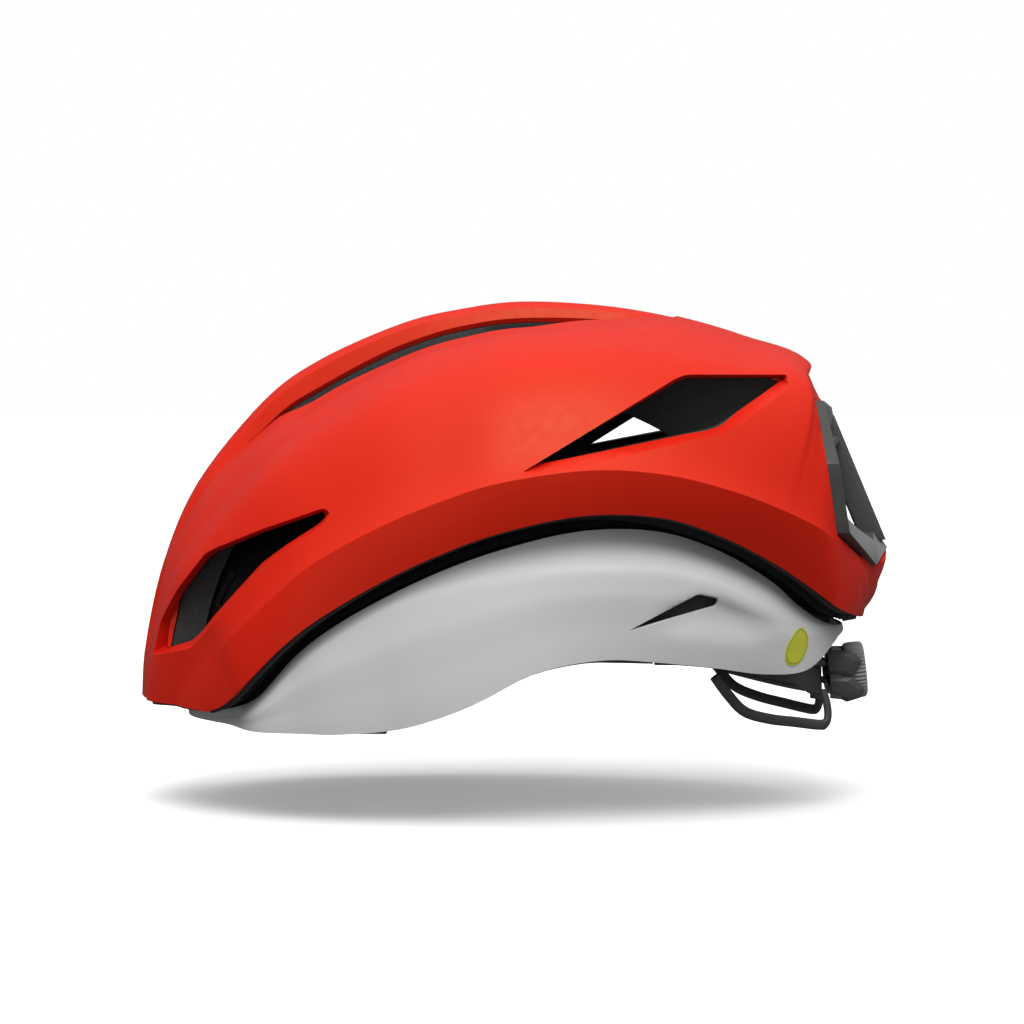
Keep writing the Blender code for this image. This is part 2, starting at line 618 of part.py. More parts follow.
def build_inner_liner(vents, ducts):
    ball, lower = inner_grids()
    depth = BALL_WALL + 1.4 * SKIN_GAP
    outer = []
    for upper, rest in zip(sunk(ball, depth), inset(lower, depth)):
        rest[0].z = min(rest[0].z, upper[-1].z - FOOT_GAP)
        outer.append(upper + rest)
    for row in outer:
        row[-1].z -= 0.6
    inner = [[in_cavity(point, -AIR_GROOVE if j == 1 else 0) for j, point in enumerate(row)]
             for row in outer]
    for outer_row, inner_row in zip(outer, inner):
        inner_row[-1].z = min(inner_row[-1].z, outer_row[-1].z + 2)
    liner = thick_sheet("inner_liner", outer, inner, MATERIALS["foam"])
    tools = [vents["through_vent"], vents["slit"], *ducts.values(),
             cutter("belt_room", belt_room(3.4)),
             *hanger_rooms()]
    pockets = bmesh.new()
    for x, y, z in ANCHORS.values():
        size = ANCHOR_SIZE + Vector((0.7, 0.7, 12))
        place = Matrix.Translation((x, y, z - 5)) @ Matrix.Diagonal((*size, 1))
        bmesh.ops.create_cube(pockets, size=1, matrix=place)
    turn = Vector((1, 0, 0)).to_track_quat("Z", "Y").to_matrix().to_4x4()
    bmesh.ops.create_cone(pockets, cap_ends=True, segments=20, radius1=6.3, radius2=6.3, depth=20,
                          matrix=Matrix.Translation((66.5, TEMPLE.y, TEMPLE.z)) @ turn)
    tools.append(cutter("pockets", on_both_sides(pockets)))
    cut(liner, *tools, solver="MANIFOLD")


def elastomer_spot(x, y):
    ring = BALL_RADIUS * math.sqrt(1 - (x / BALL_HALF_WIDTH) ** 2)
    return Vector((x, y, BALL_CENTRE.z + math.sqrt(ring ** 2 - (y - BALL_CENTRE.y) ** 2)))


def build_small_inner_parts():
    for side, sign in (("left", 1), ("right", -1)):
        for end, (x, y) in ELASTOMERS.items():
            spot = elastomer_spot(sign * x, y)
            away = (spot - BALL_CENTRE).normalized()
            mesh_object(f"elastomer_{end}_{side}",
                        disc_mesh(spot + away * 2.4, away, ELASTOMER_RADIUS, 2.6, 16),
                        MATERIALS["rubber"])
        for end, (x, y, z) in ANCHORS.items():
            mesh_object(f"strap_anchor_{end}_{side}", box_mesh((sign * x, y, z - 0.5), ANCHOR_SIZE),
                        MATERIALS["charcoal"])


def build_pads():
    """Comfort pads on the cavity wall, clear of the ducts."""
    patch("brow_pad", (-46, 46), (-3, 11), 5, MATERIALS["pad"], (12, 3))
    for side, sign in (("left", 1), ("right", -1)):
        patch(f"side_pad_{side}", (sign * 66, sign * 100), (20, 44), 5, MATERIALS["pad"], (6, 4))
        patch(f"crown_pad_{side}", (sign * 76, sign * 110), (52, 68), 5, MATERIALS["pad"], (4, 4), 3.2)
        patch(f"rear_pad_{side}", (sign * 138, sign * 160), (30, 46), 5, MATERIALS["pad"], (4, 4), 2.6)
    ridge = [[on_cavity_ridge(k, x, depth) for x, depth in ((-9, 0.5), (9, 0.5), (9, 5.5), (-9, 5.5))]
             for k in range(9)]
    loft("centre_pad", ridge, MATERIALS["pad"])


def on_cavity_ridge(k, x, depth):
    """A point of the long pad on the cavity's centre line, from front to rear."""
    angle = math.radians(38 + 84 * k / 8)
    ray = Vector((x, -100 * math.cos(angle), 100 * math.sin(angle)))
    return in_cavity(BALL_CENTRE + ray, depth)


def build_label():
    """A blank oval label on the rear quarter of the lower shell, one on each side."""
    _, lower = inner_grids()
    for side, sign in (("left", 1), ("right", -1)):
        crease, hem = along(CREASE, LABEL_STATION), along(HEM, LABEL_STATION)
        ahead = (along(HEM, LABEL_STATION + 0.2) - along(HEM, LABEL_STATION - 0.2)).normalized()
        up = (crease - hem).normalized()
        out = ahead.cross(up)
        if out.x < 0:
            out.negate()
        centre = crease.lerp(hem, 0.52) + out * 1.3
        bm = bmesh.new()
        ring = []
        for k in range(20):
            angle = 2 * math.pi * k / 20
            ring.append(centre + ahead * 4.2 * math.cos(angle) + up * 6.4 * math.sin(angle))
        face = bm.faces.new([bm.verts.new((p.x * sign, p.y, p.z)) for p in ring])
        new = bmesh.ops.extrude_face_region(bm, geom=[face])["geom"]
        bmesh.ops.translate(bm, vec=(out.x * sign * 0.5, out.y * 0.5, out.z * 0.5),
                            verts=[v for v in new if isinstance(v, bmesh.types.BMVert)])
        bmesh.ops.recalc_face_normals(bm, faces=bm.faces)
        mesh_object(f"blank_label_{side}", bm, MATERIALS["label"])


# ---------------------------------------------------------------- retention
def build_temples():
    for side, sign in (("left", 1), ("right", -1)):
        centre = Vector((sign * TEMPLE.x, TEMPLE.y, TEMPLE.z))
        hole = cutter(f"socket_hole_{side}",
                      disc_mesh(centre + Vector((sign * 1.5, 0, 0)), (1, 0, 0), 2.7, 7, 20))
        socket = mesh_object(f"temple_socket_{side}",
                             disc_mesh(centre + Vector((sign * 2.9, 0, 0)), (1, 0, 0), 5.8, 5.4, 20),
                             MATERIALS["charcoal"])
        cut(socket, hole)
        pin = disc_mesh(centre + Vector((sign * 0.2, 0, 0)), (1, 0, 0), 2.3, 7.4, 16)
        mesh_object(f"temple_pin_{side}", pin, MATERIALS["steel"])
        plate = [(34, 36), (43, 35.2), (52.5, 34.2), (52.5, 43.2), (43, 44.8), (34, 44)]
        low, high = sorted((sign * 64.4, sign * 66.2))
        mesh_object(f"temple_plate_{side}", prism_mesh(plate, 0, low, high), MATERIALS["charcoal"])


def belt_heights(sign):
    """A belt's full height along the head, and its rack's height inside the housing."""
    half = BELT_HEIGHT / 2

    def heights(degrees):
        if abs(degrees) > RACK_END:
            return -half, half
        return (half - RACK_HEIGHT, half) if sign > 0 else (-half, RACK_HEIGHT - half)

    return heights


def build_belts():
    for side, sign in (("left", 1), ("right", -1)):
        heights = belt_heights(sign)
        depths = (-BELT_THICK / 2, BELT_THICK / 2)
        sections = []
        for degrees in (-11, -4, 3, 10, 17, 24, RACK_END - 0.1, RACK_END + 0.1, 40, 50, 61, 72, 80, 88):
            low, high = heights(degrees)
            angle = math.radians(degrees * sign)
            sections.append([on_belt(angle, h, d) for h, d in
                             ((low, depths[0]), (high, depths[0]), (high, depths[1]),
                              (low, depths[1]))])
        loft(f"belt_{side}", sections, MATERIALS["charcoal"])


def build_cradle():
    """Arms inside the belts, wing loops below them, and the dial housing at the nape."""
    for side, sign in (("left", 1), ("right", -1)):
        strip(f"cradle_arm_{side}", sign * 14, sign * 64, (-6.4, 5.6), (-3.0, -1.2),
              MATERIALS["charcoal"], 5)
        strip(f"occipital_pad_{side}", sign * 18, sign * 50, (-5.2, 4.8), (-6.6, -3.3),
              MATERIALS["pad"], 5)
        points = [(sign * x, y, z) for x, y, z in WING_PATH]
        tube(f"wing_loop_{side}", points, WING_RADIUS, MATERIALS["charcoal"])
    build_housing()


def housing_section(x, base):
    """The housing's outline, seen from the side, at the width x; base is the head side."""
    bend = x * x / (2 * BELT_RADIUS)
    back, face = (112.4, 116.2) if base else (119.9, 124.2)
    return [Vector((x, back - bend, 7.4)), Vector((x, face - bend, 7.0)),
            Vector((x, face - bend, 24.8)), Vector((x, back - bend, 25.2))]


def build_housing():
    widths = (-13, -7, 7, 13)
    loft("cradle_base", [housing_section(x, True) for x in widths], MATERIALS["charcoal"])
    cover = loft("dial_cover", [housing_section(x, False) for x in widths], MATERIALS["charcoal"])
    hole = cutter("axle_hole", disc_mesh(DIAL_CENTRE - DIAL_AXIS * 6, DIAL_AXIS, 3.3, 16, 20))
    cut(cover, hole)


def build_dial():
    axis = DIAL_AXIS
    ribs = disc_mesh(DIAL_CENTRE, axis, DIAL_RADIUS, DIAL_WIDTH, DIAL_RIBS * 2)
    for vert in ribs.verts:
        away = vert.co - DIAL_CENTRE
        away -= axis * away.dot(axis)
        turn = math.atan2(away.x, away.cross(axis).x)
        if round(turn / math.pi * DIAL_RIBS) % 2:
            vert.co -= away * (0.5 / DIAL_RADIUS)
    dial = mesh_object("dial", ribs, MATERIALS["rubber"])
    cut(dial, cutter("dial_bore", disc_mesh(DIAL_CENTRE, axis, 3.0, 30, 20)))
    mesh_object("dial_axle", disc_mesh(DIAL_CENTRE - axis * 2.6, axis, 2.6, 12.6, 20),
                MATERIALS["steel"])
    mesh_object("pinion", disc_mesh(BELT_REAR, axis, PINION_RADIUS, 2.6, 20), MATERIALS["charcoal"])


def turned_to(axis):
    return axis.to_track_quat("Z", "Y").to_matrix().to_4x4()


def track_directions():
    """Up along the hanger's track, on a circle about the temples, and outwards from it."""
    arm = (HANGER_TOP - Vector((0, TEMPLE.y, TEMPLE.z))).normalized()
    return Vector((0, -arm.z, arm.y)), arm


def build_hanger():
    """A track in the liner, and a strip from the slider in that track down to the cradle's fork."""
    up, wall = track_directions()
    mesh_object("hanger_track", box_mesh(HANGER_TOP + wall * 4.6, (14, 2.2, 27), turned_to(up)),
                MATERIALS["charcoal"])
    mesh_object("hanger_slider", disc_mesh(HANGER_TOP, (1, 0, 0), SLIDER_RADIUS, 11, 16),
                MATERIALS["charcoal"])
    slope = (HANGER_TOP - HANGER_FOOT).normalized()
    length = (HANGER_TOP - HANGER_FOOT).length - SLIDER_RADIUS
    mesh_object("hanger_strip", box_mesh(HANGER_FOOT + slope * (length / 2 - 0.4),
                                         (HANGER_WIDTH, 1.8, length), turned_to(slope)),
                MATERIALS["charcoal"])
    for side, sign in (("left", 1), ("right", -1)):
        mesh_object(f"hanger_fork_{side}", box_mesh((sign * 6.2, 108.2, 22.4), (2.4, 7.4, 8)),
                    MATERIALS["charcoal"])


clear_scene()
PARTS = collection("cycling_helmet")
CUTTERS = collection("cutters")
MATERIALS = {
    "red": material("red_shell", RED, 0.38),
    "black": material("black_foam", BLACK, 0.55),
    "grey": material("grey_shell", GREY, 0.45),
    "foam": material("inner_foam", FOAM, 0.8),
    "charcoal": material("charcoal_plastic", CHARCOAL, 0.45),
    "steel": material("steel_pin", STEEL, 0.3, 1.0),
    "label": material("label_film", LABEL, 0.4),
    "pad": material("pad_fabric", PAD, 0.9),
    "rubber": material("rubber", RUBBER, 0.7),
}
VENTS = vent_cutters()
DUCTS = duct_cutters()
build_outer_shell(VENTS)
build_outer_liner(VENTS)
build_rear_port()
build_ball_shell(VENTS, DUCTS)
build_lower_shell(VENTS)
build_inner_liner(VENTS, DUCTS)
build_small_inner_parts()
build_pads()
build_label()
build_temples()
build_belts()
build_cradle()
build_dial()
build_hanger()
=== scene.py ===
import math

import bmesh
import bpy
from mathutils import Matrix, Vector
from mathutils.bvhtree import BVHTree


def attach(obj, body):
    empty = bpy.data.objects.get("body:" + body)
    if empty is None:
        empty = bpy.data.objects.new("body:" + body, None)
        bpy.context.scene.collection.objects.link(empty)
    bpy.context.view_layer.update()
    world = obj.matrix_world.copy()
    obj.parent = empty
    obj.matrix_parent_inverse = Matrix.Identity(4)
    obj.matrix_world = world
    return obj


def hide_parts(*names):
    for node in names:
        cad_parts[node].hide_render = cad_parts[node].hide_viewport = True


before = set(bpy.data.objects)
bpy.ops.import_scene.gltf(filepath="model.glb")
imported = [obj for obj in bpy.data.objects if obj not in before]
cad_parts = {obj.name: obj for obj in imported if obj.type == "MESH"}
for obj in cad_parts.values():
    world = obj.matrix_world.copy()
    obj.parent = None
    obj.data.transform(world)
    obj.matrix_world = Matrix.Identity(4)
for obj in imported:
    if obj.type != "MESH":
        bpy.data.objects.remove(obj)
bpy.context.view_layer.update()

# Tables of points are in millimetres, as in the CAD; MM turns them into the scene's metres.
MM = 0.001

# ---------------------------------------------------------------- the helmet's guide curves
BALL_CENTRE = Vector((0.0, 2.0, 12.0))
BALL_RADIUS = 124.0
BALL_HALF_WIDTH = 96.0
SLIP_GAP = 1.0
CAVITY = Vector((78.0, 104.0, 105.0))
AIR_GROOVE = 6.0
SHELL_WALL = 1.8
WRAP_DEPTH = 5.8                # the red skin folds this far into a vent
BALL_WALL = 2.0
SKIN_GAP = 0.5
FOOT_GAP = 1.7
LINER_EDGE = 1.4
NAPE_SINK = 1.6                 # the lower skin's top edge is that much lower at the nape, to clear the foam
RIM_AIM = 0.93

CROWN = [(0, -139, 8.5), (0, -137.6, 28), (0, -130.8, 58), (0, -117.7, 88), (0, -93.2, 118),
         (0, -72.2, 133.4), (0, -41.4, 147), (0, -18.8, 152.5), (0, 3.8, 155.2), (0, 33.8, 153.7),
         (0, 60.2, 149.3), (0, 86.5, 142), (0, 110.2, 133.4), (0, 121, 110.8), (0, 133.9, 80.7),
         (0, 140.2, 63.6), (0, 137.2, 50.6), (0, 129, 37.5)]
SHOULDER = [(27, -134.5, 8), (28, -132.7, 24.6), (33, -125, 51), (39, -115, 67.5), (47, -95, 90),
            (52, -78, 104.5), (59, -45, 124), (62, -20, 132.8), (63, 4, 138.3), (62, 33.9, 139.3),
            (58, 61.7, 137.1), (51, 86, 132.7), (43, 107, 129), (44, 113, 112), (47, 117, 88),
            (48, 119.5, 73), (30, 131, 57), (14, 130, 38)]
BELT_LINE = [(48, -121, 7.5), (55, -116, 16.5), (68, -105.5, 27), (78, -97, 35.5), (88, -80.5, 51),
             (94, -66, 62.5), (100, -43, 75), (102.5, -20, 84.5), (104, 0, 90.5), (102, 30, 94.6),
             (97.5, 56, 93), (90.5, 79, 87.3), (80, 98, 80), (70, 111, 73.5), (62, 117, 69),
             (54, 120.5, 65), (36, 129, 51), (22, 129.5, 38.8)]
RIM = [(64, -108.4, 6.5), (70, -103, 8.8), (76, -97.5, 13.3), (81, -92, 18.8), (88, -78.7, 31.9),
       (92, -64.3, 42.8), (96, -43, 55.3), (98, -21.9, 65.2), (99, -0.9, 72.7), (97.5, 28, 78.6),
       (92, 55.1, 77.6), (84, 76.4, 70.6), (72, 95, 60.8), (62, 108, 52), (54, 116.5, 45.6),
       (46, 122, 42), (36, 126, 40), (28, 128, 39.2)]
RIDGE_X = [13] * 16 + [9, 5]
WALL_X = [14.5] * 16 + [10, 6]
SLOT_X = [21, 21, 21, 20, 21, 26, 28.5, 29, 29, 27, 21, 20, 20, 20, 20, 20, 14, 8]
WALL_DROP = [0, 0, 0, 1.2, 6.4, 7.6, 6.6, 5.6, 5.5, 4.8, 0, 0, 0, 0, 0, 0, 0, 0]
SLOT_DROP = [0, 0, 0, 2, 6, 7.6, 7.8, 7, 6.6, 3.5, 0, 0, 0, 0, 0, 0, 0, 0]
SLOT_TAPER = ((3.5, 4.5), (8.6, 10))  # stations over which the slots open and close
LIP_STATION, LIP_DEPTH = 12, 3.6        # the crown ends in an overhanging lip
CHIN_STATION, CHIN_SWELL = 16, 1.6
TAIL_STATION, TAIL_TURNS = 14.5, 8      # the tail's surface is evened out from this station on
PANEL_STATION, PANEL_STEP = 10.0, 0.8   # the rear panel stands a little proud
RIDGE_CHAMFER = 1.8
SIDE_BULGE = 0.105
SKIRT_BULGE = 0.03
CREASE_WIDTH = 0.015            # the belt's crease is this crisp, as a part of the side's height

BALL_FOOT = [(0, -121.8, 5), (35, -113, 6), (51, -102, 8), (64.4, -90, 12.4), (74.2, -74.8, 28.9),
             (79.6, -61.8, 39.1), (84.8, -40.9, 51.3), (86.5, -20, 61.1), (85.5, 1, 68.3),
             (80.7, 28, 74), (73.1, 54, 73.2), (65.5, 74.5, 66.5), (56, 92.6, 56),
             (45.8, 105.4, 46.4), (31.8, 115.6, 40), (0, 123, 36.6)]
CREASE = [(0, -121.8, 2.9), (35.8, -112.5, 3.4), (53, -100.5, 4.5), (75.5, -89.5, 9.2),
          (83, -73.5, 25), (87, -60.5, 34.5), (91, -39.5, 46.5), (93, -18, 53), (93.2, 3, 57),
          (92.8, 28, 60.2), (89, 53.2, 60), (83, 73, 56), (72, 91, 47.5), (57, 105, 39),
          (33, 117.5, 36), (0, 123.3, 34.6)]
HEM = [(0, -121.5, 1.2), (35.8, -112, 1.2), (54, -101, 1.0), (76, -90, 0.5), (83, -73, 0.5),
       (87.5, -58, 0.7), (90.5, -35, 3.4), (92, -12, 11.5), (91.5, 10, 22.5), (90.5, 33, 27.2),
       (86.5, 53, 26.4), (78.5, 74, 23.8), (67.5, 92, 20.8), (54.5, 108, 21.4), (30, 119.5, 30),
       (0, 123.4, 33)]

# A vent has an outer outline, on the skin, and an inner one, where the folded red skin ends.
BROW_OUTER = [(-130.8, 25), (-127.8, 37.6), (-121, 49.2), (-109.3, 63.4), (-105, 65.6),
              (-86.6, 73.1), (-64.2, 80.9), (-61.6, 79.4), (-63.8, 75.4), (-76.6, 66.8),
              (-85.8, 60), (-97.2, 48.2), (-105, 39.5), (-109.6, 34), (-114.8, 29)]
BROW_INNER = [(-125.8, 27.5), (-124.8, 36.8), (-119.4, 47.9), (-108.4, 61.7), (-104.6, 64.1),
              (-86.2, 71.8), (-64.6, 79.5), (-63.7, 77.7), (-66.4, 75), (-78, 67.6), (-87, 61),
              (-98.3, 49), (-106.1, 40.5), (-110.5, 35.2), (-115.1, 31.2)]
SIDE_OUTER = [(6, 93.8), (59.8, 126.4), (63.8, 127.9), (100.6, 127.9), (101.2, 123.4),
              (96, 119.6), (81.2, 108.9), (76.9, 107.1), (14, 93.4)]
SIDE_INNER = [(8.9, 96.3), (60.3, 125.3), (64, 126.7), (99, 126.7), (97.7, 125.3), (92.8, 121.9),
              (74.7, 109.7), (70.3, 108.3), (17.8, 97.8)]
THROUGH_VENT = [(22, 97.5), (30, 103), (48, 114), (62, 119), (62, 103), (50, 99)]
INTAKE = [(5, 24), (19, 26), (23, 46), (18, 58), (5, 62)]
REAR_PORT = [(0, 113.8), (22, 116.6), (37, 119), (47.3, 75), (20, 56.8), (0, 62.5)]
PORT_SIDE = [(111, 119.2), (118.6, 70), (133.5, 56.2)]      # the port's edge seen from the side
PORT_RUNG_Z = 101.0
SLIT_OUTER = [(42.8, 37.6), (67.8, 50.8), (75.4, 49), (74.7, 46)]
SLIT_INNER = [(43.8, 38.2), (67.9, 50.4), (74.9, 48.7), (74.2, 46.4)]
SCOOP_TOP = [(50, 43), (68, 51.5), (75, 50.5), (103, 37.4)]
SCOOP_FOOT = [(50, 35.5), (88.3, 30.6), (96, 32.6), (103, 37.4)]
SCOOP_DEPTH = 2.2
SKIRT_FOLD = (0.3125, 0.7)      # a faint fold: how far down the lower skin, and how proud

# ---------------------------------------------------------------- retention
BELT_REAR = Vector((0.0, 118.0, 16.0))
BELT_TILT = math.radians(17)
BELT_RADIUS = 70.0
CONE_LEAN = math.radians(23)
BELT_HEIGHT = 10.6
RACK_HEIGHT = 2.4
RACK_END = 31
BELT_THICK = 1.5
DIAL_TILT = math.radians(6)
DIAL_AXIS = Vector((0.0, math.cos(DIAL_TILT), math.sin(DIAL_TILT)))
DIAL_CENTRE = BELT_REAR + DIAL_AXIS * 10.7
DIAL_RADIUS = 10.6
DIAL_WIDTH = 7.8
DIAL_RIBS = 44
TEMPLE = Vector((70.0, 40.0, 40.0))
TEMPLE_ROOM = 6.3               # radius of the pocket round each temple pin
WING_PATH = [(61.5, 74.5, 19.5), (58.5, 79.5, 12.5), (54, 85.5, 6.2), (46.5, 94.5, 2.9),
             (38.5, 104.5, 1.0), (32, 113.5, -0.6), (30.3, 116, -0.2), (29.4, 117, 2.5),
             (28.6, 116.6, 7), (27.6, 115.2, 12)]
HANGER_TOP = Vector((0.0, 85.0, 78.0))
HANGER_FOOT = Vector((0.0, 109.5, 21.5))
ELASTOMERS = {"front": (68, -32), "rear": (64, 52)}
ELASTOMER_ROOM = 9.2
ANCHORS = {"front": (77, -50, 3.2), "rear": (75.4, 60, 27.8)}
ANCHOR_SIZE = Vector((5.4, 15.0, 5.0))
LABEL_STATION = 12.8
LABEL_LEAN = 0.45

# ---------------------------------------------------------------- view
AIM = Vector((0, 0, 0.0762))
AZIMUTH, ELEVATION = 91.5, 2.2
CAMERA_DISTANCE = 1.4
LENS = 131
FLOOR_Z = -0.032                # the helmet hovers over its shadow
FLOOR_GLOW = 0.26
SURROUND = (0.2, 1.0, 0.13, 0.74)       # direction's height, low and high, and the light there
# Each lamp: the direction it shines from, its strength, how wide it looks, and if it glints.
LAMPS = {"key": ((1.0, 0.05, 1.15), 1.5, 30, True), "fill": ((1.0, -0.15, -0.05), 0.95, 70, False),
         "top": ((0.1, -0.1, 1.0), 1.5, 60, False), "rear": ((0.2, 1.0, 0.7), 0.4, 50, False)}

# ---------------------------------------------------------------- materials
CHARCOAL_TONES = ((0.050, 0.053, 0.051), (0.062, 0.065, 0.063))


class Shade:
    """A Principled material whose nodes are added one by one, in object space."""

    def __init__(self, name, colour, roughness, **sockets):
        self.material = bpy.data.materials.new(name)
        self.material.use_nodes = True
        self.tree = self.material.node_tree
        self.shader = self.tree.nodes["Principled BSDF"]
        self.shader.inputs["Base Color"].default_value = (*colour, 1)
        self.shader.inputs["Roughness"].default_value = roughness
        for socket, value in sockets.items():
            self.shader.inputs[socket.replace("_", " ")].default_value = value
        self.place = self.tree.nodes.new("ShaderNodeTexCoord").outputs["Object"]
        self.bumped = None

    def node(self, kind, links=(), **settings):
        made = self.tree.nodes.new(kind)
        for key, value in settings.items():
            if key in made.inputs:
                made.inputs[key].default_value = value
            else:
                setattr(made, key, value)
        for socket, source in links:
            self.tree.links.new(source, made.inputs[socket])
        return made

    def noise(self, scale, detail=2.0):
        return self.node("ShaderNodeTexNoise", [("Vector", self.place)], Scale=scale,
                         Detail=detail).outputs["Fac"]

    def cells(self, scale, feature="DISTANCE_TO_EDGE"):
        return self.node("ShaderNodeTexVoronoi", [("Vector", self.place)], feature=feature,
                         Scale=scale).outputs["Distance"]

    def weave(self, scale, direction):
        return self.node("ShaderNodeTexWave", [("Vector", self.place)], Scale=scale,
                         bands_direction=direction, Distortion=0.6).outputs["Fac"]

    def remap(self, source, from_low, from_high, low, high):
        made = self.node("ShaderNodeMapRange", [("Value", source)])
        for socket, value in (("From Min", from_low), ("From Max", from_high), ("To Min", low),
                              ("To Max", high)):
            made.inputs[socket].default_value = value
        return made.outputs["Result"]

    def bump(self, source, height, strength=1.0):
        made = self.node("ShaderNodeBump", [("Height", source)], Strength=strength,
                         Distance=height)
        if self.bumped:
            self.tree.links.new(self.bumped, made.inputs["Normal"])
        self.bumped = made.outputs["Normal"]
        self.tree.links.new(self.bumped, self.shader.inputs["Normal"])

    def vary_roughness(self, source, low, high):
        self.tree.links.new(self.remap(source, 0.3, 0.7, low, high),
                            self.shader.inputs["Roughness"])

    def vary_colour(self, source, first, second, low=0.3, high=0.7):
        ramp = self.node("ShaderNodeValToRGB", [("Fac", source)])
        ends = ramp.color_ramp.elements
        ends[0].position, ends[0].color = low, (*first, 1)
        ends[1].position, ends[1].color = high, (*second, 1)
        self.tree.links.new(ramp.outputs["Color"], self.shader.inputs["Base Color"])


def satin_red():
    shade = Shade("satin_red", (0.62, 0.013, 0.0045), 0.42, Specular_IOR_Level=0.32,
                  Specular_Tint=(1.0, 0.85, 0.45, 1.0))
    shade.vary_colour(shade.noise(9), (0.625, 0.0125, 0.0043), (0.655, 0.0140, 0.0050))
    shade.vary_roughness(shade.noise(300), 0.38, 0.46)
    shade.bump(shade.noise(1500, 3), 0.00004, 0.5)
    shade.bump(shade.noise(60), 0.0001, 0.25)
    return shade.material


def bead_foam(name, dark, light, roughness):
    """Moulded bead foam: cells of about 3 mm, pressed flat against the tool."""
    shade = Shade(name, dark, roughness)
    beads = shade.cells(420)
    shade.vary_colour(shade.cells(420, "F1"), light, dark, 0.1, 0.7)
    shade.bump(shade.remap(beads, 0, 0.2, 0, 1), 0.00012, 0.4)
    shade.bump(shade.noise(1400), 0.00005, 0.5)
    return shade.material


def grey_skin():
    shade = Shade("grey_skin", (0.56, 0.57, 0.565), 0.5, Coat_Weight=0.06, Coat_Roughness=0.3)
    shade.vary_colour(shade.noise(14), (0.54, 0.55, 0.545), (0.58, 0.59, 0.585))
    shade.vary_roughness(shade.noise(260), 0.44, 0.54)
    shade.bump(shade.noise(1600, 3), 0.00003, 0.5)
    return shade.material


def slick_black():
    shade = Shade("slick_black", (0.012, 0.012, 0.013), 0.28)
    shade.vary_roughness(shade.noise(120), 0.22, 0.34)
    shade.bump(shade.noise(80), 0.00006, 0.3)
    return shade.material


def moulded_charcoal(name="moulded_charcoal", tone=1.0):
    """Glass-filled nylon with the fine grain of a spark-eroded tool."""
    low, high = (tuple(c * tone for c in colour) for colour in CHARCOAL_TONES)
    shade = Shade(name, low, 0.36)
    shade.vary_colour(shade.noise(40), low, high)
    shade.vary_roughness(shade.noise(700), 0.30, 0.44)
    shade.bump(shade.noise(2400, 4), 0.00004, 0.7)
    return shade.material


def soft_rubber():
    shade = Shade("soft_rubber", (0.25, 0.25, 0.245), 0.55)
    shade.vary_colour(shade.noise(60), (0.24, 0.24, 0.235), (0.27, 0.27, 0.265))
    shade.vary_roughness(shade.noise(500), 0.55, 0.72)
    shade.bump(shade.noise(1800), 0.00005, 0.6)
    return shade.material


def pad_knit():
    """Brushed knit over foam: fine ribs both ways, with a little fuzz."""
    shade = Shade("pad_knit", (0.020, 0.020, 0.023), 0.9, Sheen_Weight=0.5, Sheen_Roughness=0.5)
    across, down = shade.weave(520, "X"), shade.weave(520, "Y")
    height = shade.node("ShaderNodeMath", operation="MULTIPLY")
    shade.tree.links.new(across, height.inputs[0])
    shade.tree.links.new(down, height.inputs[1])
    shade.vary_colour(height.outputs[0], (0.012, 0.012, 0.014), (0.040, 0.040, 0.046), 0.1, 0.8)
    shade.bump(height.outputs[0], 0.0003, 0.8)
    shade.bump(shade.noise(900, 4), 0.0002, 0.5)
    return shade.material


def label_film(name, colour):
    shade = Shade(name, colour, 0.35, Coat_Weight=0.3, Coat_Roughness=0.2)
    shade.vary_roughness(shade.noise(200), 0.3, 0.42)
    return shade.material


def turned_steel():
    shade = Shade("turned_steel", (0.55, 0.55, 0.56), 0.3, Metallic=1.0)
    shade.vary_roughness(shade.noise(900), 0.22, 0.38)
    return shade.material


# ---------------------------------------------------------------- curves and surfaces
def ease(t):
    t = min(max(t, 0.0), 1.0)
    return t * t * (3 - 2 * t)


def along(points, u):
    """A smooth curve through the points; u counts them and may fall between two."""
    last = len(points) - 1
    i = min(int(u), last - 1)
    t = u - i
    p0, p1, p2, p3 = (Vector(points[min(max(k, 0), last)]) for k in (i - 1, i, i + 1, i + 2))
    return 0.5 * (2 * p1 + (p2 - p0) * t + (2 * p0 - 5 * p1 + 4 * p2 - p3) * t * t
                  + (3 * p1 - p0 - 3 * p2 + p3) * t ** 3)


def number_along(values, u):
    i = min(int(u), len(values) - 2)
    return values[i] + (values[i + 1] - values[i]) * ease(u - i)


def height_at(points, y):
    """The height of a line of (y, z) points at y."""
    for (y0, z0), (y1, z1) in zip(points, points[1:]):
        if y <= y1:
            return z0 + (z1 - z0) * (y - y0) / (y1 - y0)
    return points[-1][1]


def on_ball(point, grow=0.0):
    ray = point - BALL_CENTRE
    flat = ray.x / (BALL_HALF_WIDTH + grow)
    across = math.hypot(ray.y, ray.z) / (BALL_RADIUS + grow)
    return BALL_CENTRE + ray / math.hypot(flat, across)


def toward_ball(point, grow, aim):
    """Where a line from the point meets the ball: aim 0 heads for its centre, 1 straight across."""
    ray = point - BALL_CENTRE
    step = Vector((-ray.x, -ray.y * (1 - aim), -ray.z * (1 - aim)))
    across, ring = (BALL_HALF_WIDTH + grow) ** 2, (BALL_RADIUS + grow) ** 2
    a = step.x ** 2 / across + (step.y ** 2 + step.z ** 2) / ring
    b = ray.x * step.x / across + (ray.y * step.y + ray.z * step.z) / ring
    c = ray.x ** 2 / across + (ray.y ** 2 + ray.z ** 2) / ring - 1
    return point + step * ((-b - math.sqrt(max(b * b - a * c, 0))) / a)


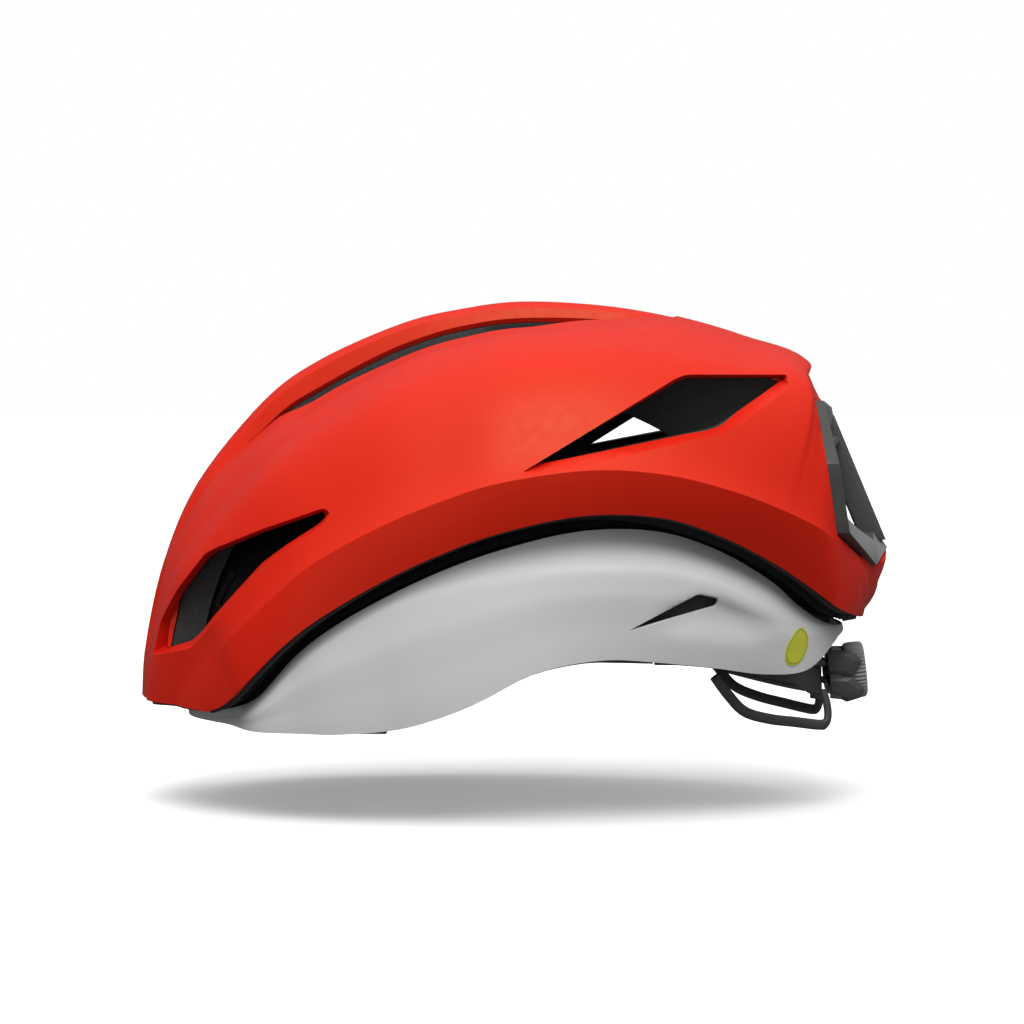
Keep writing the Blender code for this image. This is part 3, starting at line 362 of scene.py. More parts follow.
def in_cavity(point, shrink=0.0):
    ray = point - BALL_CENTRE
    half = [side - shrink for side in CAVITY]
    return BALL_CENTRE + ray / math.sqrt(sum((ray[k] / half[k]) ** 2 for k in range(3)))


def lip(u):
    """How far the skin is drawn in below the crown's rear lip."""
    t = u - LIP_STATION
    return LIP_DEPTH * ease((t - 0.08) / 0.22) * ease((1 - t) / 0.45)


def chin(u):
    """How far the tail swells below the rear port."""
    return CHIN_SWELL * math.sin(math.pi * min(max(u - CHIN_STATION, 0), 1))


def crown_point(u, x, drop=0.0):
    """The skin between crown and shoulder at the width x, lowered by drop."""
    top, edge = along(CROWN, u), along(SHOULDER, u)
    step = PANEL_STEP * ease((u - PANEL_STATION) / 0.05) * ease((LIP_STATION - u) / 1.5)
    top.y += chin(u) - lip(u)
    edge.y += (chin(u) - lip(u)) * 0.5
    s = x / edge.x
    point = Vector((x, top.y + (edge.y - top.y) * s * s, top.z + (edge.z - top.z) * s * s))
    away = Vector((0, point.y, point.z)) - BALL_CENTRE
    return point + away.normalized() * (step * (1 - s * s) - drop)


def bowed(start, end, t, bulge, power=1.0):
    """A line from start to end, bowed outwards; a power over 1 leaves its lower end straight."""
    middle = start.lerp(end, t)
    outward = Vector((1.6 * middle.x, middle.y - BALL_CENTRE.y, middle.z - BALL_CENTRE.z))
    peak = 1 / (1 + power)
    swell = t * (1 - t) ** power / (peak * (1 - peak) ** power)
    return middle + outward.normalized() * (end - start).length * bulge * swell


def slot_open(u):
    """How far the top slots are open at station u, from 0 to 1."""
    (a, b), (c, d) = SLOT_TAPER
    return ease((u - a) / (b - a)) * ease((d - u) / (d - c))


def softened(row, first, last):
    """A row of points whose creases, between two places in it, are rounded a little."""
    return row[:first] + [row[k - 1] * 0.25 + row[k] * 0.5 + row[k + 1] * 0.25
                          for k in range(first, last)] + row[last:]


def skin_row(u, top_steps=12, side_steps=16, skirt_steps=8):
    """Points of the outer skin at station u, from the crown down to the rim."""
    edge, belt, rim = crown_point(u, along(SHOULDER, u).x), along(BELT_LINE, u), along(RIM, u)
    ridge, wall = number_along(RIDGE_X, u), number_along(WALL_X, u)
    drop = number_along(SLOT_DROP, u)
    slot_x = wall + 0.5 + (number_along(SLOT_X, u) - wall - 0.5) * max(slot_open(u), 0.0)
    fall = number_along(WALL_DROP, u)
    row = [crown_point(u, 0), crown_point(u, ridge * 0.4), crown_point(u, ridge * 0.75),
           crown_point(u, ridge, RIDGE_CHAMFER * min(1, fall / 5)), crown_point(u, wall, fall),
           crown_point(u, slot_x, drop)]
    for k in range(1, top_steps + 1):
        t = k / top_steps
        row.append(crown_point(u, slot_x + (edge.x - slot_x) * t, drop * (1 - ease(t))))
    above = [k / side_steps for k in range(1, side_steps)] + [1 - CREASE_WIDTH, 1]
    below = [2 * CREASE_WIDTH] + [k / skirt_steps for k in range(1, skirt_steps + 1)]
    row += [bowed(edge, belt, t, SIDE_BULGE, 1.8) for t in above]
    row += [bowed(belt, rim, t, SKIRT_BULGE) for t in below]
    return softened(row, 7, top_steps + 9)


def skin_grid():
    """The outer skin's rows, closer together at the panel's step and at the lip."""
    extra = [PANEL_STATION + k / 40 for k in (-1, 1, 2)] + [LIP_STATION + k / 24 for k in range(1, 12)]
    steps = sorted(set(stations(CROWN, 6) + extra))
    grid = [skin_row(u) for u in steps]
    tail = steps.index(TAIL_STATION)
    for _ in range(TAIL_TURNS):
        for i in range(tail, len(grid) - 1):
            for j in range(6, len(grid[0]) - 1):
                around = grid[i - 1][j] + grid[i + 1][j] + grid[i][j - 1] + grid[i][j + 1]
                grid[i][j] = grid[i][j] * 0.5 + around * 0.125
            grid[i][-1] = grid[i][-1] * 0.5 + (grid[i - 1][-1] + grid[i + 1][-1]) * 0.25
    return steps, grid


SLOT_COLUMN = 4                 # the open strip lies between this column of a skin row and the next


def stations(points, per_gap):
    return [k / per_gap for k in range((len(points) - 1) * per_gap + 1)]


def normals(grid):
    """Outward unit normals of a grid of points whose first edges lie in the plane x = 0."""
    total = [[Vector() for _ in row] for row in grid]
    for i in range(len(grid) - 1):
        for j in range(len(grid[0]) - 1):
            corners = [(i, j), (i + 1, j), (i + 1, j + 1), (i, j + 1)]
            a, b, c, d = (grid[m][n] for m, n in corners)
            face = (c - a).cross(d - b)
            if face.dot((a + c) / 2 - BALL_CENTRE) < 0:
                face.negate()
            for m, n in corners:
                total[m][n] += face
    for row, sums in zip(grid, total):
        for j in range(len(row)):
            twins = [k for k in range(len(row)) if (row[k] - row[j]).length < 0.01]
            direction = sum((sums[k] for k in twins), Vector())
            if row[j].x < 0.01:
                direction.x = 0
            for k in twins:
                sums[k] = direction.copy()
        for summed in sums:
            summed.normalize()
    return total


def inset(grid, depths):
    """The grid moved inwards: by one depth, or by one for each point."""
    moved = []
    for i, (row, directions) in enumerate(zip(grid, normals(grid))):
        moved.append([point - normal * (depths[i][j] if isinstance(depths, list) else depths)
                      for j, (point, normal) in enumerate(zip(row, directions))])
    return moved


def sunk(grid, depth):
    return [[on_ball(point, -depth) for point in row] for row in grid]


def gap_to(outline, y, z):
    """Distance from (y, z) to a closed outline, and 0 inside it."""
    best, inside = 1e9, False
    for (y0, z0), (y1, z1) in zip(outline, outline[1:] + outline[:1]):
        run = (y1 - y0) ** 2 + (z1 - z0) ** 2
        t = min(max(((y - y0) * (y1 - y0) + (z - z0) * (z1 - z0)) / run, 0), 1)
        best = min(best, math.hypot(y - y0 - t * (y1 - y0), z - z0 - t * (z1 - z0)))
        if (z0 > z) != (z1 > z) and y < y0 + (z - z0) * (y1 - y0) / (z1 - z0):
            inside = not inside
    return 0 if inside else best


# ---------------------------------------------------------------- meshes
def sheet_mesh(outer, inner, holes=()):
    """A closed shell between two grids and its mirror image; holes are the (i, j) faces left out."""
    bm = bmesh.new()
    sheets = [[[bm.verts.new(p) for p in row] for row in grid] for grid in (outer, inner)]
    rims = {}
    for i in range(len(outer) - 1):
        for j in range(len(outer[0]) - 1):
            if (i, j) in holes:
                continue
            ring = [(i, j), (i, j + 1), (i + 1, j + 1), (i + 1, j)]
            bm.faces.new([sheets[0][m][n] for m, n in ring])
            bm.faces.new([sheets[1][m][n] for m, n in reversed(ring)])
            for a, b in zip(ring, ring[1:] + ring[:1]):
                if (b, a) in rims:
                    del rims[(b, a)]
                else:
                    rims[(a, b)] = True
    for a, b in rims:
        if max(outer[a[0]][a[1]].x, outer[b[0]][b[1]].x) > 0.01:
            bm.faces.new([sheets[0][b[0]][b[1]], sheets[0][a[0]][a[1]],
                          sheets[1][a[0]][a[1]], sheets[1][b[0]][b[1]]])
    return mirrored(bm)


CUTTER_WELD = 0.0001            # a cutter's two halves are welded only this close together


def mirrored(bm, weld=0.001):
    """Add the mirror image of a half, and weld where the two meet."""
    half = bm.verts[:] + bm.edges[:] + bm.faces[:]
    copy = bmesh.ops.duplicate(bm, geom=half)["geom"]
    bmesh.ops.scale(bm, vec=(-1, 1, 1), verts=[v for v in copy if isinstance(v, bmesh.types.BMVert)])
    bmesh.ops.reverse_faces(bm, faces=[f for f in copy if isinstance(f, bmesh.types.BMFace)])
    bmesh.ops.remove_doubles(bm, verts=bm.verts, dist=weld)
    return bm


def prism_mesh(outline, axis, low, high):
    """An outline pushed along one axis; its two numbers are the other two, in X, Y, Z order."""
    bm = bmesh.new()
    corners = []
    for pair in outline:
        place = list(pair)
        place.insert(axis, low)
        corners.append(bm.verts.new(place))
    push = Vector((0, 0, 0))
    push[axis] = high - low
    new = bmesh.ops.extrude_face_region(bm, geom=[bm.faces.new(corners)])["geom"]
    bmesh.ops.translate(bm, vec=push, verts=[v for v in new if isinstance(v, bmesh.types.BMVert)])
    bmesh.ops.recalc_face_normals(bm, faces=bm.faces)
    return bm


def loft_mesh(sections, closed=False):
    """A solid through sections of equal length; a closed one joins its last section to its first."""
    bm = bmesh.new()
    loops = [[bm.verts.new(p) for p in section] for section in sections]
    pairs = list(zip(loops, loops[1:] + loops[:1])) if closed else list(zip(loops, loops[1:]))
    for first, second in pairs:
        for k in range(len(first)):
            n = (k + 1) % len(first)
            bm.faces.new([first[k], first[n], second[n], second[k]])
    if not closed:
        bm.faces.new(loops[0])
        bm.faces.new(list(reversed(loops[-1])))
    bmesh.ops.recalc_face_normals(bm, faces=bm.faces)
    return bm


def turned_to(axis):
    return Vector(axis).to_track_quat("Z", "Y").to_matrix().to_4x4()


def add_disc(bm, centre, axis, radius, length, segments=48):
    bmesh.ops.create_cone(bm, cap_ends=True, segments=segments, radius1=radius, radius2=radius,
                          depth=length, matrix=Matrix.Translation(centre) @ turned_to(axis))
    return bm


def disc_mesh(centre, axis, radius, length, segments=48):
    return add_disc(bmesh.new(), centre, axis, radius, length, segments)


def box_mesh(centre, size, turn=Matrix.Identity(4)):
    bm = bmesh.new()
    place = Matrix.Translation(centre) @ turn @ Matrix.Diagonal((*size, 1))
    bmesh.ops.create_cube(bm, size=1, matrix=place)
    return bm


def object_of(name, bm, shade=None):
    """Turn a bmesh in millimetres into an object in metres."""
    bmesh.ops.scale(bm, vec=(MM, MM, MM), verts=bm.verts)
    mesh = bpy.data.meshes.new(name)
    bm.to_mesh(mesh)
    bm.free()
    item = bpy.data.objects.new(name, mesh)
    bpy.context.scene.collection.objects.link(item)
    if shade:
        mesh.materials.append(shade)
    return item


def apply_modifiers(item):
    """Put what the modifiers make into the object's own mesh."""
    graph = bpy.context.evaluated_depsgraph_get()
    made = bpy.data.meshes.new_from_object(item.evaluated_get(graph))
    old = item.data
    item.modifiers.clear()
    item.data = made
    bpy.data.meshes.remove(old)
    return item


def carve(item, *cutters):
    """Cut closed bmeshes, in millimetres, out of an object."""
    tools = [object_of("tool", bm) for bm in cutters]
    for tool in tools:
        step = item.modifiers.new("cut", "BOOLEAN")
        step.operation = "DIFFERENCE"
        step.solver = "MANIFOLD"
        step.object = tool
    apply_modifiers(item)
    for tool in tools:
        bpy.data.objects.remove(tool, do_unlink=True)
    return item


def add_bevel(item, width, sharp):
    step = item.modifiers.new("edges", "BEVEL")
    step.width = width * MM
    step.segments = 2
    step.limit_method = "ANGLE"
    step.angle_limit = math.radians(sharp)


def finished(item, body, slot, *replaced, sharp=32, bevel=0.0, carved=False):
    """Round and shade a piece, and hang it on its body in place of its CAD nodes. The slot argument is not
    used.
    """
    if bevel:
        add_bevel(item, bevel, sharp)
        apply_modifiers(item)
    item.data.shade_smooth()
    item.data.set_sharp_from_angle(angle=math.radians(sharp))
    if carved:
        step = item.modifiers.new("normals", "WEIGHTED_NORMAL")
        step.keep_sharp = True
        apply_modifiers(item)
    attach(item, body)
    if replaced:
        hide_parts(*replaced)


# ---------------------------------------------------------------- vents
def rounded(outline, radius):
    """An outline with every corner cut to a short curve of three points."""
    points = []
    for k, corner in enumerate(outline):
        corner, before, after = (Vector((*p, 0)) for p in
                                 (corner, outline[k - 1], outline[(k + 1) % len(outline)]))
        a = corner + (before - corner) * min(0.4, radius / (before - corner).length)
        b = corner + (after - corner) * min(0.4, radius / (after - corner).length)
        points += [a, (a + 2 * corner + b) / 4, b]
    return points


def wrap_cutter(outer, inner, tree, depth, far_x, radius=1.2, step=3.0):
    """A vent's cutter: it follows the skin, narrows from the outer outline to the inner one at
    that depth, and then goes straight in to far_x."""
    outer, inner = rounded(outer, radius), rounded(inner, radius)
    rings = [[], [], [], []]
    for k in range(len(outer)):
        n = (k + 1) % len(outer)
        steps = max(1, round((outer[n] - outer[k]).length / step))
        for m in range(steps):
            a, b = outer[k].lerp(outer[n], m / steps), inner[k].lerp(inner[n], m / steps)
            skin = tree.ray_cast(Vector((300, a.x, a.y)), Vector((-1, 0, 0)))[0].x
            mouth = a + (a - b) * 0.8
            rings[0].append(Vector((130, mouth.x, mouth.y)))
            rings[1].append(Vector((skin + depth * 0.8, mouth.x, mouth.y)))
            rings[2].append(Vector((skin - depth, b.x, b.y)))
            rings[3].append(Vector((far_x, b.x, b.y)))
    return mirrored(loft_mesh(rings), CUTTER_WELD)


def straight_cutters():
    """Openings that are the same through every layer, both sides at once."""
    port = REAR_PORT + [(-x, z) for x, z in reversed(REAR_PORT) if x > 0]
    side = PORT_SIDE + [(150, 56.2), (150, 119.2)]
    return {"rear_port": prism_mesh(port, 1, 84, 160),
            "port_corner": mirrored(prism_mesh(side, 0, 34, 110), CUTTER_WELD),
            "intake": mirrored(prism_mesh(INTAKE, 1, -155, -98), CUTTER_WELD),
            "through_vent": prism_mesh(THROUGH_VENT, 0, -110, 110)}


def outer_cutters(tree):
    """The openings that pass through the red skin and its foam alike."""
    straight = straight_cutters()
    return [wrap_cutter(BROW_OUTER, BROW_INNER, tree, 4.5, 36),
            wrap_cutter(SIDE_OUTER, SIDE_INNER, tree, 5.5, 47),
            *(straight[name] for name in ("intake", "rear_port", "port_corner"))]


def duct_cutters():
    """Openings through the inner half only: brow ducts, slots over the crown and exhaust."""
    slot = [(17, -84), (25, -66), (27, -20), (25, 14), (19, 34), (16, 14), (16, -66)]
    exhaust = [(5, 64), (38, 74), (34, 104), (5, 104)]
    brow = [(48, 36), (56, 52), (40, 56), (36, 44)]
    front = [(8, 28), (17, 29), (20, 45), (16, 54), (8, 56)]
    return [mirrored(prism_mesh(slot, 2, 100, 160), CUTTER_WELD),
            mirrored(prism_mesh(exhaust, 1, 60, 140), CUTTER_WELD),
            mirrored(prism_mesh(brow, 1, -130, -60), CUTTER_WELD),
            mirrored(prism_mesh(front, 1, -130, -80), CUTTER_WELD)]


def skin_tree(grid):
    points, faces = [], []
    for row in grid:
        points += row
    wide = len(grid[0])
    for i in range(len(grid) - 1):
        for j in range(wide - 1):
            faces.append([i * wide + j, i * wide + j + 1, (i + 1) * wide + j + 1, (i + 1) * wide + j])
    return BVHTree.FromPolygons(points, faces)


# ---------------------------------------------------------------- outer, slipping half
def wrap_depths(grid):
    """The red skin's thickness at each point: thin, and deep where it folds into a side vent."""
    depths = []
    for row in grid:
        near = [min(gap_to(BROW_OUTER, p.y, p.z), gap_to(SIDE_OUTER, p.y, p.z))
                if p.x > 30 else 99 for p in row]
        depths.append([SHELL_WALL + (WRAP_DEPTH - SHELL_WALL) * ease((7 - gap) / 5) for gap in near])
    return depths


def outer_half():
    """The red skin and its foam; gives back the skin's tree for what meets it."""
    steps, grid = skin_grid()
    tree = skin_tree(grid)
    depths = wrap_depths(grid)
    holes = {(i, SLOT_COLUMN) for i, u in enumerate(steps[:-1])
             if slot_open(u) > 0.005 and slot_open(steps[i + 1]) > 0.005}
    shell = object_of("red_shell", sheet_mesh(grid, inset(grid, depths), holes), RED)
    carve(shell, *outer_cutters(tree))
    finished(shell, "outer", "red_shell", "outer_shell", bevel=0.25, carved=True)
    outer = inset(grid, [[depth + SKIN_GAP for depth in row] for row in depths])
    for i, row in enumerate(outer):
        before, after = grid[max(i - 1, 0)][-1], grid[min(i + 1, len(grid) - 1)][-1]
        run = (after - before).normalized()
        row.append(row[-1] + Vector((0, run.z, -run.y)) * LINER_EDGE)
    for end, beside in ((outer[0], outer[1]), (outer[-1], outer[-2])):
        for k in range(len(end) - 1):
            end[k] = end[k] + (end[k] - beside[k]).normalized() * LINER_EDGE
    last = len(outer[0]) - 1
    inner = [[toward_ball(point, SLIP_GAP, RIM_AIM * (j / last) ** 12) for j, point in enumerate(row)]
             for row in outer]
    liner = object_of("outer_foam", sheet_mesh(outer, inner, holes), BLACK_FOAM)
    rooms = bmesh.new()
    for x, y in ELASTOMERS.values():
        spot = elastomer_spot(x, y)
        add_disc(rooms, spot, (spot - BALL_CENTRE).normalized(), ELASTOMER_ROOM, 12, 32)
    carve(liner, *outer_cutters(tree), mirrored(rooms, CUTTER_WELD))
    finished(liner, "outer", "black_foam", "outer_liner")
    return tree


def elastomer_spot(x, y):
    ring = BALL_RADIUS * math.sqrt(1 - (x / BALL_HALF_WIDTH) ** 2)
    return Vector((x, y, BALL_CENTRE.z + math.sqrt(ring ** 2 - (y - BALL_CENTRE.y) ** 2)))


# ---------------------------------------------------------------- inner half
def inner_guides(u):
    """Foot of the ball, crease and bottom edge of the inner skin at station u."""
    guides = [on_ball(along(BALL_FOOT, u))]
    for points in (CREASE, HEM):
        point = along(points, u)
        shell = on_ball(point)
        inside = (point - BALL_CENTRE).length < (shell - BALL_CENTRE).length
        guides.append(shell if inside else point)
    return guides


def ball_row(u, steps):
    foot = inner_guides(u)[0]
    flat = Vector((0, foot.y - BALL_CENTRE.y, foot.z - BALL_CENTRE.z)).normalized()
    row = []
    for k in range(steps + 1):
        angle = math.asin(min(1, foot.x / BALL_HALF_WIDTH)) * k / steps
        x = Vector((BALL_HALF_WIDTH * math.sin(angle), 0, 0))
        row.append(BALL_CENTRE + x + flat * BALL_RADIUS * math.cos(angle))
    return row


def scoop(point):
    """How far the lower skin sinks behind the side slit."""
    if not SCOOP_TOP[0][0] < point.y < SCOOP_TOP[-1][0]:
        return 0
    top, foot = height_at(SCOOP_TOP, point.y), height_at(SCOOP_FOOT, point.y)
    t = (point.z - foot) / max(top - foot, 0.01)
    back = (point.y - SCOOP_TOP[0][0]) / (SCOOP_TOP[-1][0] - SCOOP_TOP[0][0])
    return SCOOP_DEPTH * ease(t / 0.6) * ease((1 - t) / 0.25) * ease(back / 0.3) * ease((1 - back) / 0.5)


def lower_grid(per_gap=8, band=5, wall=16):
    grid = []
    for u in stations(BALL_FOOT, per_gap):
        foot, crease, hem = inner_guides(u)
        foot = foot + (crease - foot).normalized() * FOOT_GAP
        foot.z -= NAPE_SINK * ease((foot.y - 95) / 12)
        row = [foot.lerp(crease, k / band) for k in range(band)]
        for k in range(wall + 1):
            point = bowed(crease, hem, k / wall, 0.03)
            fold = max(0, 1 - abs(k / wall - SKIRT_FOLD[0]) / SKIRT_FOLD[0])
            row.append(point + Vector((SKIRT_FOLD[1] * fold, 0, 0)) * ease(point.x / 60))
        grid.append(softened(row, 1, band + 4))
    return grid


def inner_half():
    ball = [ball_row(u, 14) for u in stations(BALL_FOOT, 4)]
    shell = object_of("ball_skin", sheet_mesh(ball, sunk(ball, BALL_WALL)), BLACK_SLICK)
    carve(shell, straight_cutters()["through_vent"], *duct_cutters())
    finished(shell, "root", "black_ball", "ball_shell")
    grid = lower_grid()
    dented = [[point - normal * scoop(point) for point, normal in zip(row, directions)]
              for row, directions in zip(grid, normals(grid))]
    tree = skin_tree(dented)
    skirt = object_of("grey_skirt", sheet_mesh(dented, inset(grid, BALL_WALL + SCOOP_DEPTH)), GREY)
    carve(skirt, wrap_cutter(SLIT_OUTER, SLIT_INNER, tree, 0.8, 70, 1.0, 1.5), belt_room(2.5))
    finished(skirt, "root", "grey_shell", "lower_shell", bevel=0.2, carved=True)
    return tree


def belt_frame():
    """Centre and directions of the belts' cone: its axis, rearwards and to the wearer's left."""
    axis = Vector((0, math.sin(BELT_TILT), math.cos(BELT_TILT)))
    rear = Vector((0, math.cos(BELT_TILT), -math.sin(BELT_TILT)))
    return BELT_REAR - rear * BELT_RADIUS, axis, rear


def belt_room(margin):
    centre, axis, _ = belt_frame()
    return disc_mesh(centre - axis * 12, axis, BELT_RADIUS + margin, 48, 96)


def hanger_rooms():
    """Room for the hanger's strip to swing in, and for its track."""
    slope = (HANGER_TOP - HANGER_FOOT).normalized()
    wall = (HANGER_TOP - Vector((0, TEMPLE.y, TEMPLE.z))).normalized()
    up = Vector((0, -wall.z, wall.y))
    return [box_mesh((HANGER_TOP + HANGER_FOOT) / 2, (18, 11, 78), turned_to(slope)),
            box_mesh(HANGER_TOP + wall * 0.6, (18, 13, 36), turned_to(up))]


def inner_foam():
    """The foam of the inner half, with its cavity, its two long grooves and its pockets."""
    per_gap, ball_steps = 4, 12
    depth = BALL_WALL + 1.4 * SKIN_GAP
    outer = []
    lower = [row[::3] + [row[-1]] if (len(row) - 1) % 3 else row[::3] for row in lower_grid(per_gap)]
    for u, rest in zip(stations(BALL_FOOT, per_gap), inset(lower, depth + SCOOP_DEPTH)):
        upper = [on_ball(point, -depth) for point in ball_row(u, ball_steps)]
        rest[0].z = min(rest[0].z, upper[-1].z - FOOT_GAP)
        outer.append(upper + rest)
    for row in outer:
        row[-1].z -= 0.6
    inner = []
    for row in outer:
        inner.append([in_cavity(point, -AIR_GROOVE * ease(2 - abs(j - 2.5)) * ease(point.z / 30 - 1))
                      for j, point in enumerate(row)])
        inner[-1][-1].z = min(inner[-1][-1].z, row[-1].z + 2)
    foam = object_of("inner_foam", sheet_mesh(outer, inner), INNER_FOAM)
    pockets = bmesh.new()
    for x, y, z in ANCHORS.values():
        size = ANCHOR_SIZE + Vector((0.7, 0.7, 12))
        place = Matrix.Translation((x, y, z - 5)) @ Matrix.Diagonal((*size, 1))
        bmesh.ops.create_cube(pockets, size=1, matrix=place)
    add_disc(pockets, (66.5, TEMPLE.y, TEMPLE.z), (1, 0, 0), TEMPLE_ROOM, 20, 32)
    carve(foam, straight_cutters()["through_vent"], *duct_cutters(), belt_room(3.4), *hanger_rooms(),
          mirrored(pockets, CUTTER_WELD))
    finished(foam, "root", "inner_foam", "inner_liner")


# ---------------------------------------------------------------- rear port
def rear_face_y(x, z):
    """Where the rear port's frame faces the rear: it leans back as far down as the tail's edge."""
    lean = 121 + (110.8 - max(z, 63.6)) * 0.4174 - max(0, 63.6 - z) * 0.3
    return lean - (0.0031 + (118 - z) * 0.000124) * x * x


def port_edge(tree):
    """Points of the port's edge on the skin, and how far the frame stands out there."""
    points = [(Vector((x, rear_face_y(x, z), z)), proud) for x, z, proud in
              ((0, 113, 0.3), (20, 115.8, 1.2))]
    for y, z, proud in ((111.8, 118.4, 3.2), (115, 96, 4.2), (119, 70.8, 4.4), (126, 64, 3.6),
                        (132.8, 57.6, 2.4)):
        skin = tree.ray_cast(Vector((300, y, z)), Vector((-1, 0, 0)))[0]
        points.append((skin, proud))
    return points + [(Vector((0, rear_face_y(0, 63.2), 63.2)), 0.3)]


def rear_port(tree):
    """The port's frame, with dark flanks and faces to the rear in a paler charcoal that is painted light,
    its spine and its rung.
    """
    inner = [(0, 107.5), (19, 109.6), (34.5, 111.4), (38, 95), (38.5, 79), (28.5, 71.5), (16, 66.5),
             (0, 70.5)]
    rows = []
    for (place, proud), (x, z) in zip(port_edge(tree), inner):
        face = Vector((x, rear_face_y(x, z) - 2.4, z))
        out = Vector((min(0.6, place.x / 60), 0, 0))
        rows.append([place - out * 0.6 - Vector((0, 0.9, 0)), place - out * 2 + Vector((0, proud, 0)),
                     face, face - Vector((0, 9, 0)), place.lerp(face, 0.25) - Vector((0, 8, 0))])
    sections = [[first.lerp(second, k / 4) for first, second in zip(start, end)]
                for start, end in zip(rows, rows[1:]) for k in range(4)] + [rows[-1]]
    frame_piece = object_of("port_frame", mirrored(open_loft(sections)), CHARCOAL)
    # The faces to the rear get the paler copy of the charcoal: painted light, not a second plastic.
    frame_piece.data.materials.append(PAINTED_LIGHT_CHARCOAL)
    finished(frame_piece, "outer", "charcoal_plastic", "rear_port_bezel", bevel=0.35, sharp=25)
    spine = []
    for k in range(9):
        z = 113.0 - 47.0 * k / 8
        y = rear_face_y(0, z)
        half = 4.2 + (113.0 - z) * 0.03
        spine.append([Vector((-half, y - 1.4, z)), Vector((-half * 0.4, y + 0.4, z)),
                      Vector((half * 0.4, y + 0.4, z)), Vector((half, y - 1.4, z)),
                      Vector((half, y - 9, z + 0.4)), Vector((-half, y - 9, z + 0.4))])
    rib = object_of("port_spine", loft_mesh(spine), CHARCOAL)
    finished(rib, "outer", "charcoal_plastic", "rear_spine", bevel=0.4, sharp=25)
    rung = []
    for k in range(13):
        x = 35.5 - 71.0 * k / 12
        y, z = rear_face_y(x, PORT_RUNG_Z) - 3.2, PORT_RUNG_Z + 2.2 * math.cos(x / 24)
        rung.append([Vector((x, y, z - 1.7)), Vector((x, y + 0.9, z)), Vector((x, y, z + 1.7)),
                     Vector((x, y - 5, z + 2.2)), Vector((x, y - 5, z - 1.0))])
    bar = object_of("port_rung", loft_mesh(rung), CHARCOAL)
    finished(bar, "outer", "charcoal_plastic", bevel=0.3, sharp=25)


def open_loft(sections, painted_light_strip=1):
    """A loft without end caps, for a half that its mirror image closes; one strip takes the second material,
    which on the port's frame is painted light.
    """
    bm = bmesh.new()
    loops = [[bm.verts.new(p) for p in section] for section in sections]
    for first, second in zip(loops, loops[1:]):
        for k in range(len(first)):
            n = (k + 1) % len(first)
            face = bm.faces.new([first[k], first[n], second[n], second[k]])
            face.material_index = int(k == painted_light_strip)
    bmesh.ops.recalc_face_normals(bm, faces=bm.faces)
    return bm


# ---------------------------------------------------------------- retention
def on_belt(angle, height, depth):
    """A point of the belt cone: angle from the rear, height up the strip, depth outwards."""
    centre, axis, rear = belt_frame()
    radius = BELT_RADIUS - height * math.sin(CONE_LEAN) + depth * math.cos(CONE_LEAN)
    rise = height * math.cos(CONE_LEAN) + depth * math.sin(CONE_LEAN)
    around = rear * math.cos(angle) + Vector((1, 0, 0)) * math.sin(angle)
    return centre + around * radius + axis * rise


def strip_mesh(start_deg, end_deg, heights, depths, step_deg=2.0):
    """A bar with chamfered edges on the belt cone; heights may follow the angle."""
    steps = max(2, round(abs(end_deg - start_deg) / step_deg))
    sections = []
    for k in range(steps + 1):
        degrees = start_deg + (end_deg - start_deg) * k / steps
        low, high = heights(degrees) if callable(heights) else heights
        cut = min(0.5, (depths[1] - depths[0]) / 3)
        angle = math.radians(degrees)
        sections.append([on_belt(angle, h, d) for h, d in
                         ((low + cut, depths[0]), (high - cut, depths[0]), (high, depths[0] + cut),
                          (high, depths[1] - cut), (high - cut, depths[1]), (low + cut, depths[1]),
                          (low, depths[1] - cut), (low, depths[0] + cut))])
    return loft_mesh(sections)


def belt_heights(sign):
    half = BELT_HEIGHT / 2

    def heights(degrees):
        wide = ease((abs(degrees) - RACK_END + 3) / 6)
        low, high = (half - RACK_HEIGHT, half) if sign > 0 else (-half, RACK_HEIGHT - half)
        return low + (-half - low) * wide, high + (half - high) * wide

    return heights


def swept(points, width, height, steps_per_gap=6, segments=12):
    """A strip of rounded section along a smooth path, lying flat to the head."""
    route = [along(points, u) for u in stations(points, steps_per_gap)]
    sections = []
    for k, place in enumerate(route):
        run = (route[min(k + 1, len(route) - 1)] - route[max(k - 1, 0)]).normalized()
        outward = Vector((place.x, (place.y - 60) * 1.2, -12))
        side = (outward - run * outward.dot(run)).normalized()
        up = side.cross(run)
        ring = []
        for m in range(segments):
            angle = 2 * math.pi * m / segments
            c, s = math.cos(angle), math.sin(angle)
            ring.append(place + side * math.copysign(abs(c) ** 0.6, c) * width / 2
                        + up * math.copysign(abs(s) ** 0.6, s) * height / 2)
        sections.append(ring)
    return loft_mesh(sections)


def flipped(bm):
    bmesh.ops.scale(bm, vec=(-1, 1, 1), verts=bm.verts)
    bmesh.ops.reverse_faces(bm, faces=bm.faces)
    return bm


def cradle():
    for side, sign in (("left", 1), ("right", -1)):
        belt = object_of(f"belt_strap_{side}",
                         strip_mesh(-11 * sign, 88 * sign, belt_heights(sign),
                                    (-BELT_THICK / 2, BELT_THICK / 2)), CHARCOAL)
        finished(belt, f"belt_{side}", "charcoal_plastic", f"belt_{side}")
        arm = object_of(f"arm_{side}", strip_mesh(sign * 14, sign * 64, (-6.4, 5.6), (-3.0, -1.2)),
                        CHARCOAL)
        finished(arm, "cradle", "charcoal_plastic", f"cradle_arm_{side}")
        loop = swept(WING_PATH, 2.4, 3.9)
        wing = object_of(f"wing_{side}", loop if sign > 0 else flipped(loop), CHARCOAL)
        finished(wing, "cradle", "charcoal_plastic", f"wing_loop_{side}", sharp=60)


